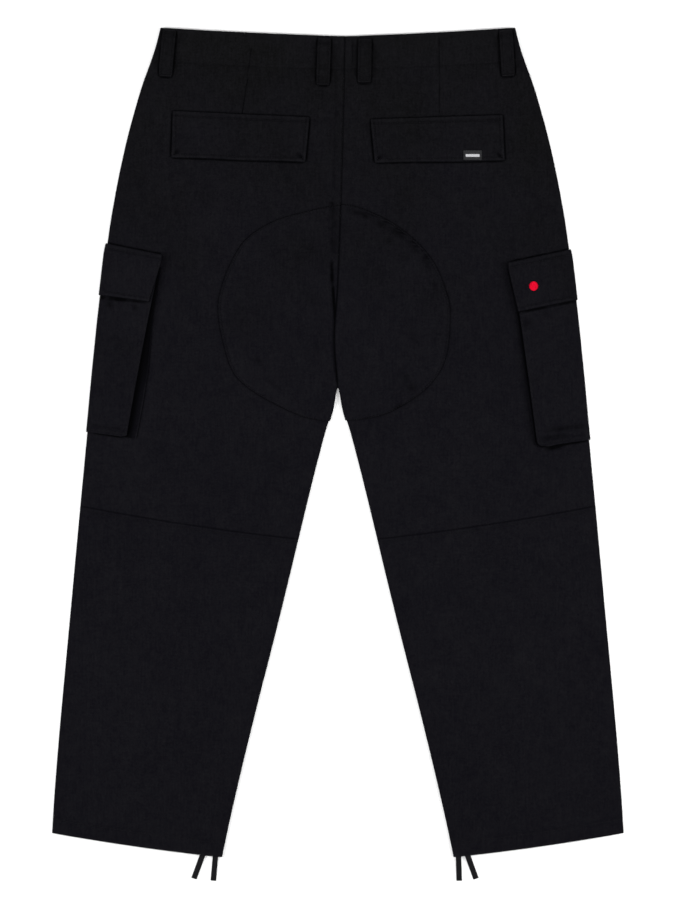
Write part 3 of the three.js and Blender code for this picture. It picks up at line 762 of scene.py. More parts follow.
class Nodes:
    """A material's nodes. What goes into one is a number, a tuple or another's output."""

    def __init__(self, name):
        self.material = bpy.data.materials.new(name)
        self.material.use_nodes = True
        self.tree = self.material.node_tree
        self.coords = self.add("TexCoord", {}, "Object")

    def fill(self, node, inputs):
        for key, value in inputs.items():
            if isinstance(value, bpy.types.NodeSocket):
                self.tree.links.new(value, node.inputs[key])
            else:
                node.inputs[key].default_value = value

    def add(self, kind, inputs, output=0, **settings):
        node = self.tree.nodes.new(f"ShaderNode{kind}")
        for key, value in settings.items():
            setattr(node, key, value)
        self.fill(node, inputs)
        return node.outputs[output]

    def math(self, operation, *values, clamp=False):
        return self.add("Math", dict(enumerate(values)), operation=operation, use_clamp=clamp)

    def times(self, a, b):
        return self.math("MULTIPLY", a, b)

    def plus(self, a, b, clamp=False):
        return self.math("ADD", a, b, clamp=clamp)

    def minus(self, a, b):
        return self.math("SUBTRACT", a, b)

    def scaled(self, value, by, more, clamp=False):
        return self.math("MULTIPLY_ADD", value, by, more, clamp=clamp)

    def vector(self, operation, a, b, output=0):
        return self.add("VectorMath", {0: a, 1: b}, output, operation=operation)

    def mix(self, factor, a, b):
        a, b = ((*value, 1) if isinstance(value, tuple) else value for value in (a, b))
        return self.add("Mix", {0: factor, 6: a, 7: b}, 2, data_type="RGBA")

    def noise(self, scale, detail=2.0, roughness=0.5, stretch=None):
        """Noise by place, drawn out along an axis where stretch is below 1."""
        place = self.vector("MULTIPLY", self.coords, stretch) if stretch else self.coords
        return self.add("TexNoise", {"Scale": scale, "Detail": detail, "Roughness": roughness,
                                     "Vector": place})

    def ribs(self, direction, pitch):
        """Ridges across a direction, one in each pitch, from 0 to 1."""
        run = self.vector("DOT_PRODUCT", self.coords, direction, "Value")
        wave = self.math("SINE", self.times(run, 2 * math.pi / pitch))
        return self.scaled(wave, 0.5, 0.5)

    def tone(self):
        return self.add("Attribute", {}, "Fac", attribute_name="tone")

    def bump(self, height, distance, strength, under=None):
        inputs = {"Height": height, "Distance": distance, "Strength": strength}
        if under is not None:
            inputs["Normal"] = under
        return self.add("Bump", inputs)

    def shade(self, inputs):
        """Sets what the shader gets, and gives the material."""
        self.fill(self.tree.nodes["Principled BSDF"], inputs)
        return self.material


# The first colour is that of painted shade: corners, grooves and shadows are mixed towards it.
TWILL_PAINTED_SHADE = (0.0001, 0.0001, 0.0003)
TWILL_GREY = (0.0022, 0.0022, 0.0023)
TWILL_BLUE = (0.0026, 0.0024, 0.0038)
TWILL_WORN = (0.0078, 0.0076, 0.0089)
# Reach, in metres, of the ambient occlusion that paints shade into the cloth's corners.
CORNER_REACH = 0.004
LINE_FADE = 0.003  # the least that a drawn line fades over at each end


def line_shade(nodes, start, stop, width):
    """A soft line between two places in millimetres, 1 on it and 0 beside it."""
    start, stop = np.array(start, float) * MM, np.array(stop, float) * MM
    run = np.linalg.norm(stop - start)
    way = (stop - start) / run
    middle = (start + stop) / 2
    fade = min(run / 2, max(LINE_FADE, 2.4 * width * MM))
    away = nodes.vector("SUBTRACT", nodes.coords, (*middle, 0))
    shade = None
    for direction, inner, outer in (((way[1], -way[0], 0), 0, width * MM),
                                    ((way[0], way[1], 0), run / 2 - fade, run / 2)):
        far = nodes.math("ABSOLUTE", nodes.vector("DOT_PRODUCT", away, direction, "Value"))
        ramp = nodes.add("MapRange", {0: far, 1: inner, 2: outer, 3: 1.0, 4: 0.0},
                         interpolation_type="SMOOTHSTEP")
        shade = ramp if shade is None else nodes.times(shade, ramp)
    return shade


def twill_material(name, lines=()):
    """Black cotton twill: diagonal wales, uneven yarn, faded on ridges, with painted shade in
    corners, along drawn lines and where the tone is below zero.
    """
    nodes = Nodes(name)
    wales = nodes.ribs((0.87, 0.5, 0.55), 0.0011)
    weft = nodes.ribs((0.1, 1.0, 0.4), 0.00062)
    yarn = nodes.noise(900, 3, 0.6)
    fleck = nodes.noise(380, 2, 0.6)
    slub = nodes.noise(130, 4, 0.6)
    lengthwise = nodes.times(nodes.noise(420, 2, stretch=(1, 0.12, 1)), 2.0)
    crosswise = nodes.minus(0.5, nodes.noise(420, 2, stretch=(0.12, 1, 1)))
    streaks = nodes.times(nodes.minus(lengthwise, crosswise), 0.5)
    cloudy = nodes.noise(9, 4, 0.55)
    patchy = nodes.noise(34, 3, 0.5)
    weave = nodes.times(wales, nodes.scaled(weft, 0.35, 0.5))
    weave = nodes.plus(weave, nodes.times(yarn, 0.5))

    tone = nodes.tone()
    lighter = nodes.times(nodes.minus(cloudy, 0.5), 0.3)
    for layer, share in ((patchy, 0.3), (slub, 0.6), (fleck, 0.8), (streaks, 0.45)):
        lighter = nodes.plus(lighter, nodes.times(nodes.minus(layer, 0.5), share))
    # The tone lightens worn places and, below zero, paints shade, in this mix as well.
    lighter = nodes.plus(lighter, nodes.times(tone, 0.5))
    worn_and_shaded = nodes.plus(lighter, 0.22, clamp=True)
    towards_hem = nodes.scaled(nodes.add("SeparateXYZ", {0: nodes.coords}, "Y"), -2.2, 0.0)
    tint = nodes.plus(nodes.scaled(cloudy, 1.8, 0.5), towards_hem, clamp=True)
    colour = nodes.mix(tint, TWILL_GREY, TWILL_BLUE)
    colour = nodes.mix(worn_and_shaded, colour, TWILL_WORN)

    # Painted shade: ambient occlusion, the tone below zero and the drawn lines darken the colour
    # towards the painted-shade colour.
    openness = nodes.add("AmbientOcclusion", {"Distance": CORNER_REACH}, "AO", samples=6)
    painted_shade = nodes.times(nodes.minus(nodes.minus(1.0, openness), 0.08), 1.9)
    painted_shade = nodes.math("MAXIMUM", painted_shade, 0.0)
    painted_shade = nodes.plus(painted_shade, nodes.math("MAXIMUM", nodes.times(tone, -1.0), 0.0))
    groove = None
    broken = nodes.scaled(nodes.noise(95, 2, 0.5), 2.6, -0.45, clamp=True)
    for start, stop, width, dark in lines:
        shade = line_shade(nodes, start, stop, width)
        painted_shade = nodes.plus(painted_shade, nodes.times(nodes.times(shade, broken), dark))
        groove = shade if groove is None else nodes.math("MAXIMUM", groove, shade)
    painted_shade = nodes.math("MINIMUM", painted_shade, 1.0)
    relief = nodes.bump(slub, 0.0006, 0.4)
    if groove is not None:
        relief = nodes.bump(nodes.minus(1.0, groove), 0.0005, 0.8, relief)
    return nodes.shade({
        "Base Color": nodes.mix(painted_shade, colour, TWILL_PAINTED_SHADE),
        "Roughness": nodes.scaled(slub, 0.12, 0.76),
        "Specular IOR Level": 0.02,
        "Sheen Weight": 0.008,
        "Sheen Roughness": 0.55,
        "Sheen Tint": (0.75, 0.75, 0.9, 1),
        "Normal": nodes.bump(weave, 0.00028, 0.7, relief),
    })


def thread_material():
    """Twisted black thread, a little glossier than the cloth."""
    nodes = Nodes("black_thread")
    twist = nodes.ribs((0.7, 0.7, 0.3), 0.0005)
    colour = nodes.mix(nodes.noise(220), (0.0026, 0.0025, 0.0034), (0.0080, 0.0076, 0.0094))
    return nodes.shade({"Base Color": colour, "Roughness": 0.6, "Specular IOR Level": 0.08,
                        "Normal": nodes.bump(twist, 0.0001, 0.6)})


def cord_material():
    """Flat braided drawstring."""
    nodes = Nodes("braided_cord")
    left = nodes.ribs((0.7, 0.7, 0.2), 0.0012)
    right = nodes.ribs((0.7, -0.7, 0.2), 0.0012)
    braid = nodes.times(left, right)
    # Darker where the braid's relief is low and lighter on its crests: painted shade between the
    # strands and painted light on them.
    colour = nodes.mix(braid, (0.0022, 0.0021, 0.0029), (0.0085, 0.0080, 0.0098))
    fuzz = nodes.bump(nodes.noise(700, 3), 0.0002, 0.5)
    return nodes.shade({"Base Color": colour, "Roughness": 0.8, "Specular IOR Level": 0.12,
                        "Normal": nodes.bump(braid, 0.0004, 0.8, fuzz)})


def label_material():
    """Plain woven label: fine satin rows, with no lettering."""
    nodes = Nodes("woven_label")
    rows = nodes.ribs((0.0, 1.0, 0.2), 0.00055)
    warp = nodes.ribs((1.0, 0.0, 0.2), 0.0004)
    weave = nodes.times(rows, nodes.scaled(warp, 0.4, 0.5))
    grey = nodes.mix(nodes.noise(900), (0.005, 0.005, 0.006), (0.013, 0.013, 0.015))
    pale = nodes.mix(rows, (0.25, 0.25, 0.26), (0.55, 0.55, 0.57))
    return nodes.shade({"Base Color": nodes.mix(nodes.tone(), grey, pale), "Roughness": 0.55,
                        "Specular IOR Level": 0.2, "Normal": nodes.bump(weave, 0.0002, 0.6)})


def dot_material():
    """Red embroidery thread."""
    nodes = Nodes("red_embroidery")
    twist = nodes.ribs((0.8, 0.5, 0.3), 0.0006)
    colour = nodes.mix(nodes.noise(400), (0.42, 0.0008, 0.014), (0.66, 0.0016, 0.024))
    return nodes.shade({"Base Color": colour, "Roughness": 0.6, "Specular IOR Level": 0.05,
                        "Normal": nodes.bump(twist, 0.0001, 0.5)})


def button_material():
    """Matte moulded plastic."""
    nodes = Nodes("button_plastic")
    colour = nodes.mix(nodes.noise(160, 3), (0.006, 0.006, 0.007), (0.014, 0.0135, 0.015))
    return nodes.shade({"Base Color": colour, "Roughness": 0.42,
                        "Normal": nodes.bump(nodes.noise(1500, 3), 0.00006, 0.4)})


# The painted shade lines listed for one part of the cloth.
def drawn_lines(name):
    return [((x0, y0), (x1, y1), width, dark) for x0, y0, x1, y1, width, dark in PAINTED_SHADE_LINES[name]]


def beside_flap(corners):
    """Painted shadow lines just outside a back flap's four edges, darkest towards the centre seam.
    """
    corners = np.array(corners, float)
    ends = zip(corners, np.roll(corners, -1, axis=0), (0.4, 1.0, 0.95, 0.75))
    return [(start, stop, 2.8, dark) for start, stop, dark in ends]


def beside_loop(upper, lower):
    """Painted shadow lines at the sides and the lower end of a belt loop."""
    upper, lower = np.array(upper, float), np.array(lower, float)
    down = (lower - upper) / np.linalg.norm(lower - upper)
    across = np.array([-down[1], down[0]]) * (LOOP["width"] / 2 + 0.4)
    low = lower + down * 0.7
    return [
        (upper + across, lower + across, 2.6, 0.95), (upper - across, lower - across, 2.6, 0.75),
        (low - across, low + across, 2.4, 0.9),
    ]


def back_lines(side, tag):
    """The painted shade lines of one side's back: its folds and the shadows beside everything that
    lies on it.
    """
    lines = drawn_lines(f"back {tag}") + beside_flap(BACK_FLAPS[tag])
    for upper, lower in BACK_LOOPS.values():
        if upper[0] * side > 0:
            lines += beside_loop(upper, lower)
    (ax, ay), (bx, by), (cx, cy), _ = CARGO_FLAPS[tag]
    # Painted shadows along the cargo flap's upper edge and, on the right, beside its rear edge.
    lines.append(((side * bx, by + 0.6), (side * ax, ay + 0.6), 2.6, 0.9))
    if side > 0:
        lines.append(((bx - 0.8, by), (cx - 0.8, cy), 3.4, 1.0))
    return lines


TWILL = twill_material("black_twill")
BACK_CLOTH = {tag: twill_material(f"black_twill_back_{tag}", back_lines(side, tag))
              for side, tag in SIDES}
POCKET_CLOTH = {tag: twill_material(f"black_twill_pocket_{tag}", drawn_lines(f"pocket {tag}"))
                for tag in "LR"}
PATCH_CLOTH = {tag: twill_material(f"black_twill_patch_{tag}", drawn_lines(f"patch {tag}"))
               for tag in "LR"}
THREAD = thread_material()
BRAID = cord_material()
WOVEN = label_material()
RED = dot_material()
PLASTIC = button_material()


# Panels of the legs and the waistband

HEM_LEAD = [*TRIM_LEAD, 8, 11, 14, 16.6, 18.4, 19.4, 20.0, 20.6, 21.6, 23.2]
BAND_LEVELS = WAIST_TOP - graded(0, WAIST_TOP - WAIST_SEAM - SEWN / 2, BACK_STEP,
                                 TRIM_LEAD, EDGE_LEAD)
THIGH_LEVELS = WAIST_SEAM - SEWN / 2 - graded(0, WAIST_SEAM - KNEE_SEAM - SEWN, BACK_STEP,
                                              EDGE_LEAD, EDGE_LEAD)
SHIN_LEVELS = KNEE_SEAM - SEWN / 2 - graded(0, KNEE_SEAM - SEWN / 2 - HEM, BACK_STEP,
                                            EDGE_LEAD, HEM_LEAD)


def thinned(levels, step):
    """Some of the levels: all that are close together, and about one in each step."""
    kept = [levels[0]]
    for level in levels[1:-1]:
        if kept[-1] - level >= step * 0.95 or abs(level - WAIST_SEAM) < 7:
            kept.append(level)
        elif min(abs(level - KNEE_SEAM), abs(level - HEM - HEM_TURN)) < 6.8:
            kept.append(level)
    return np.array([*kept, levels[-1]])


def row_near(levels, level):
    return int(np.argmin(np.abs(levels - level)))


panels = {}


def patch_shade(side, x, y):
    """Painted shade on the panels beside the outline of the seat patch."""
    table = SEAT_PATCH["L" if side < 0 else "R"]
    slope = (along(table, y + 1) - along(table, y - 1)) / 2
    off = (side * x - along(table, y)) / np.sqrt(1 + slope ** 2)
    inside = smooth(y, table[-1][0] - 1, table[-1][0] + 3) * (
        1 - smooth(y, table[0][0] - 3, table[0][0] + 1))
    return -0.12 * inside * hump(off, 1.5)


def add_panel(name, side, levels, columns, face, low, high):
    outside, inside, tone = leg_sheet(side, levels, columns, face, low, high)
    if face == "back":
        tone = tone + patch_shade(side, outside[..., 0], outside[..., 1])
    if name.startswith("waistband_back"):
        tone = tone + BAND_WORN
    # The back's thigh panels and band get the materials with painted shade lines.
    shadow_lined = name.startswith(("waistband_back", "back_thigh"))
    dress(name, outside, inside, BACK_CLOTH[name[-1]] if shadow_lined else TWILL, tone)
    normals = outward(outside, len(levels) // 2, len(columns) // 2,
                      UP if face == "back" else -UP)
    panels[name] = ((outside, normals), levels)


def add_panels():
    for side, tag in SIDES:
        back, front = leg_columns(BACK_STEP), leg_columns(FRONT_STEP)
        add_panel(f"waistband_back_{tag}", side, BAND_LEVELS, back, "back",
                  BAND_PROUD - BAND_WALL, BAND_SHOWN)
        add_panel(f"waistband_front_{tag}", side, BAND_LEVELS, front, "front", -BAND_WALL, 0)
        for part, levels in (("thigh", THIGH_LEVELS), ("shin", SHIN_LEVELS)):
            add_panel(f"back_{part}_{tag}", side, levels, back, "back", -CLOTH, 0)
            coarse = thinned(levels, FRONT_STEP)
            add_panel(f"front_{part}_{tag}", side, coarse, front, "front", -CLOTH, 0)


def sew_panels():
    inner = slice(3, -3)
    for _, tag in SIDES:
        for face in ("back", "front"):
            sheet, levels = panels[f"waistband_{face}_{tag}"]
            for level in (WAIST_TOP - TOP_STITCH, WAIST_SEAM + BAND_STITCH):
                sew_on(f"waist_{face}", sheet, (row_near(levels, level), inner))
            sheet, levels = panels[f"{face}_shin_{tag}"]
            for level in (KNEE_SEAM - KNEE_STITCH, HEM + HEM_STITCH):
                sew_on(f"legs_{face}", sheet, (row_near(levels, level), inner))
    sheet, _ = panels["back_thigh_L"]
    last = sheet[0].shape[1] - 1
    for column in (last - 3, last - 10):
        sew_on("seat", sheet, (sheet[0][:, column, 1] > CENTRE_FULL, column))


# Overlays on the back

def edge_round(distance, radius, low):
    """Share of a wall's height near its rounded edge."""
    inward = np.clip(distance / radius, 0, 1)
    return low + (1 - low) * np.sqrt(1 - (1 - inward) ** 2)


def ground(side, x, y):
    """Height of the back's outer face at a place."""
    level = level_at(side, x, y)
    _, _, outer, _ = leg_at(side, level)
    return back_face(side, level, outer - side * x, x, y)[0]


PATCH_LEAST = 6.0
PATCH_COLUMNS = 52
PATCH_WALL = 1.2
PATCH_SCAN = (345, 30, 2600)  # levels between which a patch is looked for, and how many
PATCH_LEAD = [0, 0.5, 1, 1.6, 2.3, 3.2, 4.4, 6]
PATCH_SEWN = 2.6
# Where along its outline each patch is puckered most, as turns, and how much
PUCKERED = {"L": (-1.2, -0.6, 0.2), "R": (0.35, 0.6, 1.3)}


def outline_across(side, level, table):
    """Distance from the outseam at which a level meets the patch's outline."""
    y_inner, sag, outer, width = leg_at(side, level)
    across = 0.6 * width
    for _ in range(40):
        y = height_at(level, y_inner, sag, across / width)
        across = lerp(across, outer - along(table, y), 0.6)
    return across


def add_seat_patch(side, tag):
    table = SEAT_PATCH[tag]
    scan = np.linspace(*PATCH_SCAN)
    wide = leg_at(side, scan)[3] - outline_across(side, scan, table)
    inside = scan[wide > PATCH_LEAST]
    levels = inside[0] - graded(0, inside[0] - inside[-1], BACK_STEP, PATCH_LEAD, PATCH_LEAD)
    level = levels[:, None]
    y_inner, _, _, width = leg_at(side, level)
    start = outline_across(side, level, table)
    room = width - ROLL - start
    tight = np.minimum(1, room / 40)
    middle = np.linspace(0, 1, PATCH_COLUMNS)[None, 1:-1]
    lead = start + np.array(TRIM_LEAD)[None] * tight
    tail = width - ROLL - np.array(TRIM_LEAD[:0:-1])[None] * tight
    flat = np.concatenate([lead, lerp(lead[:, -1:], tail[:, :1], middle), tail], 1)
    curl = curl_at(y_inner)
    faces = []
    for low in (False, True):
        distance = flat - start
        thick = PATCH_WALL * edge_round(distance, 1.1, 0.3)
        move = GAP + (0 if low else 1) * thick
        across, rest, rise = [flat], [flat], [move + 0 * flat]
        for roll in np.linspace(0, 1, ROLL_STEPS):
            angle = roll * np.pi / 2
            out = GAP + (0 if low else PATCH_WALL)
            kept = ROLL * (1 - math.sin(angle)) + 0 * width
            across.append(width - lerp(kept, ROLL - (ROLL + out) * math.sin(angle), curl))
            rest.append(width - kept)
            rise.append(lerp(out, (ROLL + out) * math.cos(angle) - ROLL, curl))
        across, rest, rise = (np.concatenate(parts, 1) for parts in (across, rest, rise))
        points, tone = cloth(side, level, across, rest, rise, "back")
        faces.append((points, tone, rest - start))
    (outside, tone, distance), (inside_face, _, _) = faces
    turn = np.arctan2(outside[..., 1] - PATCH_MIDDLE, side * outside[..., 0])
    run = PATCH_RADIUS * turn
    edge = np.minimum(distance, 40)
    drawn = 0.4 + PUCKERED[tag][2] * smooth(turn, *PUCKERED[tag][:2]) * (
        1 - smooth(turn, 1.25, 1.5))
    drawn = drawn + 0.5 * (1 - smooth(turn, -0.9, -0.5))
    pucker = puckered(run, edge, 12, 0.42, 18, 1.7 * side)
    pucker = pucker + puckered(run, edge, 7.5, 0.25, 11, 0.6 * side)
    outside[..., 2] += drawn * pucker * smooth(edge, 0.2, 2) - 0.22 * hump(edge - PATCH_SEWN, 1.0)
    clear = smooth(outside[..., 1], 26, 46)
    firm = 0.16 + 0.08 * np.sin(run / 31 + side) + 0.08 * np.sin(run / 13)
    # Painted shade along the patch's outline and its stitch row, and in the hollows between the
    # puckers; a band further in is lighter.
    tone = tone - (0.15 + clear) * firm * hump(edge, 1.1) - 0.22 * hump(edge - 3, 0.9)
    pucker_shade = np.clip(np.sin(run / 2.3) * np.sin(run / 5.1 + 1) + 0.2, 0, 1)
    tone = tone - 0.6 * (drawn - 0.4) * pucker_shade * hump(edge - 5, 4) + 0.2 * hump(edge - 6.5, 2)
    dress(f"seat_patch_{tag}", outside, inside_face, PATCH_CLOTH[tag], tone)
    sheet = (outside, outward(outside, len(levels) // 2, 20))
    sew_on("seat", sheet, np.s_[:, TRIM_LEAD.index(PATCH_SEWN)])


FLAP_SEWN = 4.5  # from a back flap's sides and lower edge, and from its upper edge
FLAP_TOP_SEWN = 7
FLAP_LEAD = [0, 0.3, 0.7, 1.2, 1.9, 2.8, 3.7, 4.5, 5.3, 6.4, 8]
FLAP_TOP_LEAD = [0, 0.3, 0.7, 1.2, 2, 3.4, 5, 6.2, 7, 7.8, 9.4]
LABEL_LEAD = [0, 0.2, 0.45, 0.8, 1.2, 1.6, 2.0]
LABEL_STEPS = (0.5, 0.35)
LABEL_CORNER = 0.8


def corner_grid(width, length, steps, radius, lead, top_lead=None):
    """Distances u across and v down a rectangle, both again but drawn in so that its corners
    are round, and the distance to its edge."""
    u = graded(0, width, steps[0], lead, lead)[None, :]
    v = graded(0, length, steps[1], top_lead or lead, lead)[:, None]
    du, dv = np.minimum(u, width - u), np.minimum(v, length - v)
    a = np.clip(1 - du / radius, 0, 1)
    b = np.clip(1 - dv / radius, 0, 1)
    in_u = radius * (a - a * np.sqrt(1 - b * b / 2))
    in_v = radius * (b - b * np.sqrt(1 - a * a / 2))
    return (u, v, u + np.where(u < width / 2, in_u, -in_u),
            v + np.where(v < length / 2, in_v, -in_v), np.minimum(du, dv))


def flap_shares(tag, x, y):
    (ax, ay), (bx, by), (cx, cy), (dx, dy) = BACK_FLAPS[tag]
    s = (x - (ax + dx) / 2) / ((bx + cx) / 2 - (ax + dx) / 2)
    top, bottom = lerp(ay, by, s), lerp(dy, cy, s)
    return np.clip(s, 0, 1), np.clip((top - y) / (top - bottom), 0, 1)


def flap_under(side, tag, x, y):
    """Height of a back flap's under side: it stands off more towards its free edge."""
    s, t = flap_shares(tag, x, y)
    off = GAP + 1.1 * t ** 1.6 + 0.9 * smooth(s, 0.75, 1) * smooth(t, 0.1, 0.9)
    off = off + 0.35 * t * np.sin(9 * s + side) ** 2
    return ground(side, x, y) + off


def add_back_flap(side, tag):
    corners = np.array(BACK_FLAPS[tag], float)
    width = np.linalg.norm(corners[1] - corners[0])
    length = np.linalg.norm(corners[3] - corners[0])
    u, v, ru, rv, edge = corner_grid(width, length, (FINE_STEP, FINE_STEP), FLAP_CORNER,
                                     FLAP_LEAD, FLAP_TOP_LEAD)
    s, t = (ru / width)[..., None], (rv / length)[..., None]
    flat = lerp(lerp(corners[0], corners[1], s), lerp(corners[3], corners[2], s), t)
    x, y = flat[..., 0], flat[..., 1]
    side_gap = np.minimum(u, width - u) + 0 * v
    rows = np.minimum(side_gap, length - v)
    y = y + 0.35 * np.sin(u / 17 + side) * smooth(v, 30, length)
    under = flap_under(side, tag, x, y)
    pucker = puckered(u, length - v, 10, 0.3, 14, 0.3 * side)
    pucker_light_and_shade = 0
    for corner_u in (0, width):
        far = np.hypot(u - corner_u, length - v)
        ray = np.sin(6 * np.arctan2(length - v, np.abs(u - corner_u) + 0.1))
        pucker = pucker + 0.6 * ray * hump(far - 13, 8)
        # Painted shade in the hollows of the corner puckers and painted highlight on their ridges.
        shade = 0.75 * np.clip(-ray, 0, 1) - 0.4 * np.clip(ray, 0, 1)
        pucker_light_and_shade = pucker_light_and_shade + shade * hump(far - 9, 5)
    dent = 0.3 * hump(rows - FLAP_SEWN, 0.9)
    dent = dent + 0.3 * hump(v - FLAP_TOP_SEWN, 0.9) * smooth(side_gap, 3, 5)
    relief = (pucker - dent) * smooth(edge, 0.3, 2.5)
    top = under + FLAP_WALL * edge_round(edge, 1.3, 0.25) + relief
    # Painted shade along the stitch rows and at the flap's very edge, and the corner puckers'
    # painted light and shade; the rolled edge just inside is lighter, worn.
    tone = -0.3 * hump(rows - FLAP_SEWN, 1.0) - 0.3 * hump(v - FLAP_TOP_SEWN, 1.0) - pucker_light_and_shade
    tone = tone + 0.3 * hump(edge - 2.5, 1.2) - 0.8 * hump(edge, 0.6)
    outside, inside = np.stack([x, y, top], -1), np.stack([x, y, under], -1)
    dress(f"back_flap_{tag}", outside, inside, TWILL, tone + 0 * x)
    near, far = FLAP_LEAD.index(FLAP_SEWN), FLAP_TOP_LEAD.index(FLAP_TOP_SEWN)
    sew_on("flaps", (outside, outward(outside, 8, 8)),
           np.s_[far, near:-near], np.s_[-1 - near, near:-near],
           np.s_[far:-near, near], np.s_[far:-near, -1 - near])


def add_label():
    width, height = LABEL["width"], LABEL["height"]
    u, v, ru, rv, edge = corner_grid(width, height, LABEL_STEPS, LABEL_CORNER, LABEL_LEAD)
    x, y = LABEL["x"] - width / 2 + ru, LABEL["y"] + height / 2 - rv
    under = flap_under(1, "R", x, y) + FLAP_WALL + 0.1
    border = 0.16 * hump(edge - 1.2, 0.35)
    top = under + LABEL["wall"] * edge_round(edge, 0.6, 0.3) + border
    outside, inside = np.stack([x, y, top], -1), np.stack([x, y, under], -1)
    stripe = smooth(u, 3.2, 3.5) * (1 - smooth(u, width - 3.5, width - 3.2))
    tone = stripe * smooth(v, 5.2, 5.5) * (1 - smooth(v, 8.6, 8.9)) + 0 * x
    finish(shell("woven_flap_label", outside, inside, WOVEN, tone), ["flap_label"])
    sew_on("flaps", (outside, outward(outside, 8, 8)), np.s_[2:-2, 4], np.s_[2:-2, -5],
           pitch=1.7, length=1.3, radius=0.2)


# Cargo pockets and their flaps, wrapped round the outseam

# Columns of a pocket's pleat, as (distance past the rear edge, share of the gusset's width,
# share of the height that the pocket stands)
PLEAT = [
    (0.5, 0, 0.97), (0.85, 0, 0.9), (0.75, 0, 0.8), (0.2, 0, 0.7), (-1.2, 0, 0.61),
    (-3.0, 0, 0.54), (-4.4, 0, 0.48), (-4.9, 0, 0.41), (-4.2, 0, 0.355), (-2.6, 0, 0.33),
    (-0.8, 0.05, 0.325), (0, 0.2, 0.33), (0, 0.38, 0.34), (0, 0.55, 0.32), (0, 0.7, 0.26),
    (0, 0.82, 0.17), (0, 0.92, 0.08), (0, 1.0, 0.02),
]
BEYOND = 345
POCKET_TOP = 4
POCKET_REAR_TOP = -6
PLEAT_WALL = 0.8
# How dark the shade painted into the gusset's pleat is.
GUSSET_PAINTED_SHADE = 0.86
POCKET_STEP = 0.012
POCKET_FOOT_LEAD = [0, 0.001, 0.003, 0.006, 0.01, 0.014, 0.018, 0.024, 0.03]
POCKET_HEM = 8
CARGO_FLAP_STEP = 0.04
CARGO_FLAP_LEADS = ([0, 0.006, 0.015, 0.03, 0.055, 0.09, 0.115, 0.14],
                    [0, 0.006, 0.014, 0.025, 0.04, 0.06, 0.08, 0.1])
CARGO_FLAP_SEWN = 5  # from a cargo flap's lower edge, and from its upper edge
CARGO_FLAP_TOP_SEWN = 7

# Columns of a sheet that wraps round the outseam
FRONT_SHARES = 22
WRAP_ROLLS = 7
EDGE_COLUMN = FRONT_SHARES + WRAP_ROLLS - 2  # the one on the garment's edge
BACK_COLUMN = EDGE_COLUMN + WRAP_ROLLS  # the first on the back past the roll
FRONT = slice(0, EDGE_COLUMN + 1)


def reach_at(cargo, level):
    down = (cargo["mouth"] - level) / (cargo["mouth"] - cargo["base"])
    return lerp(cargo["top"], cargo["foot"], np.clip(down, -0.2, 1))


def stand_share(cargo, level, across):
    """How much of its full height a pocket stands at a distance from the outseam."""
    inward = np.clip((across - 3) / (reach_at(cargo, level) - 3), 0, 1)
    return 1 - (1 - inward) ** 2.4


def opened(cargo, level):
    """How far open a pocket is at a level: shut at its base."""
    return smooth(level, cargo["base"] - 1, cargo["base"] + CARGO_CLOSE) ** 0.7


def wrap_grid(side, columns, level, target, move):
    """Places on a sheet wrapped round the outseam. Each column gives its kind and distance;
    target is the height wanted at a distance from the middle."""
    for _ in range(18):
        y_inner, sag, outer, width = leg_at(side, level)
        across = np.concatenate([
            np.full((len(level), 1), ROLL * (1 - math.sin(value * np.pi / 2)))
            if kind.endswith("roll") else value(level[:, k:k + 1])
            for k, (kind, value) in enumerate(columns)], 1)
        y = height_at(level, y_inner, sag, across / width)
        level = level + target(outer - across) - y
    out = move(level, across)
    parts = []
    for k, (kind, value) in enumerate(columns):
        at, rest, shift = level[:, k:k + 1], across[:, k:k + 1], out[:, k:k + 1]
        place, rise = rest, shift
        if kind.endswith("roll"):
            angle = value * np.pi / 2
            place = ROLL - (ROLL + shift) * math.sin(angle)
            rise = (ROLL + shift) * math.cos(angle) - ROLL
        face = "front" if kind.startswith("front") else "back"
        parts.append(cloth(side, at, place, rest, rise, face)[0])
    return np.concatenate(parts, 1), level, across


def wrap_columns(reach, total):
    """Columns from the front round the outseam to the back. reach and total are functions."""
    shares = np.linspace(1, 0, FRONT_SHARES)
    front = [("front", lambda level, s=s: lerp(ROLL, total(level), s)) for s in shares[:-1]]
    under = [("front roll", roll) for roll in np.linspace(0, 1, WRAP_ROLLS)[:-1]]
    over = [("back roll", roll) for roll in np.linspace(1, 0, WRAP_ROLLS)]
    back_shares = [*np.linspace(0, 1, 26)[1:-2], 0.95, 0.972, 0.988, 1]
    back = [("back", lambda level, s=s: lerp(ROLL, reach(level), s)) for s in back_shares]
    return [*front, *under, *over, *back]


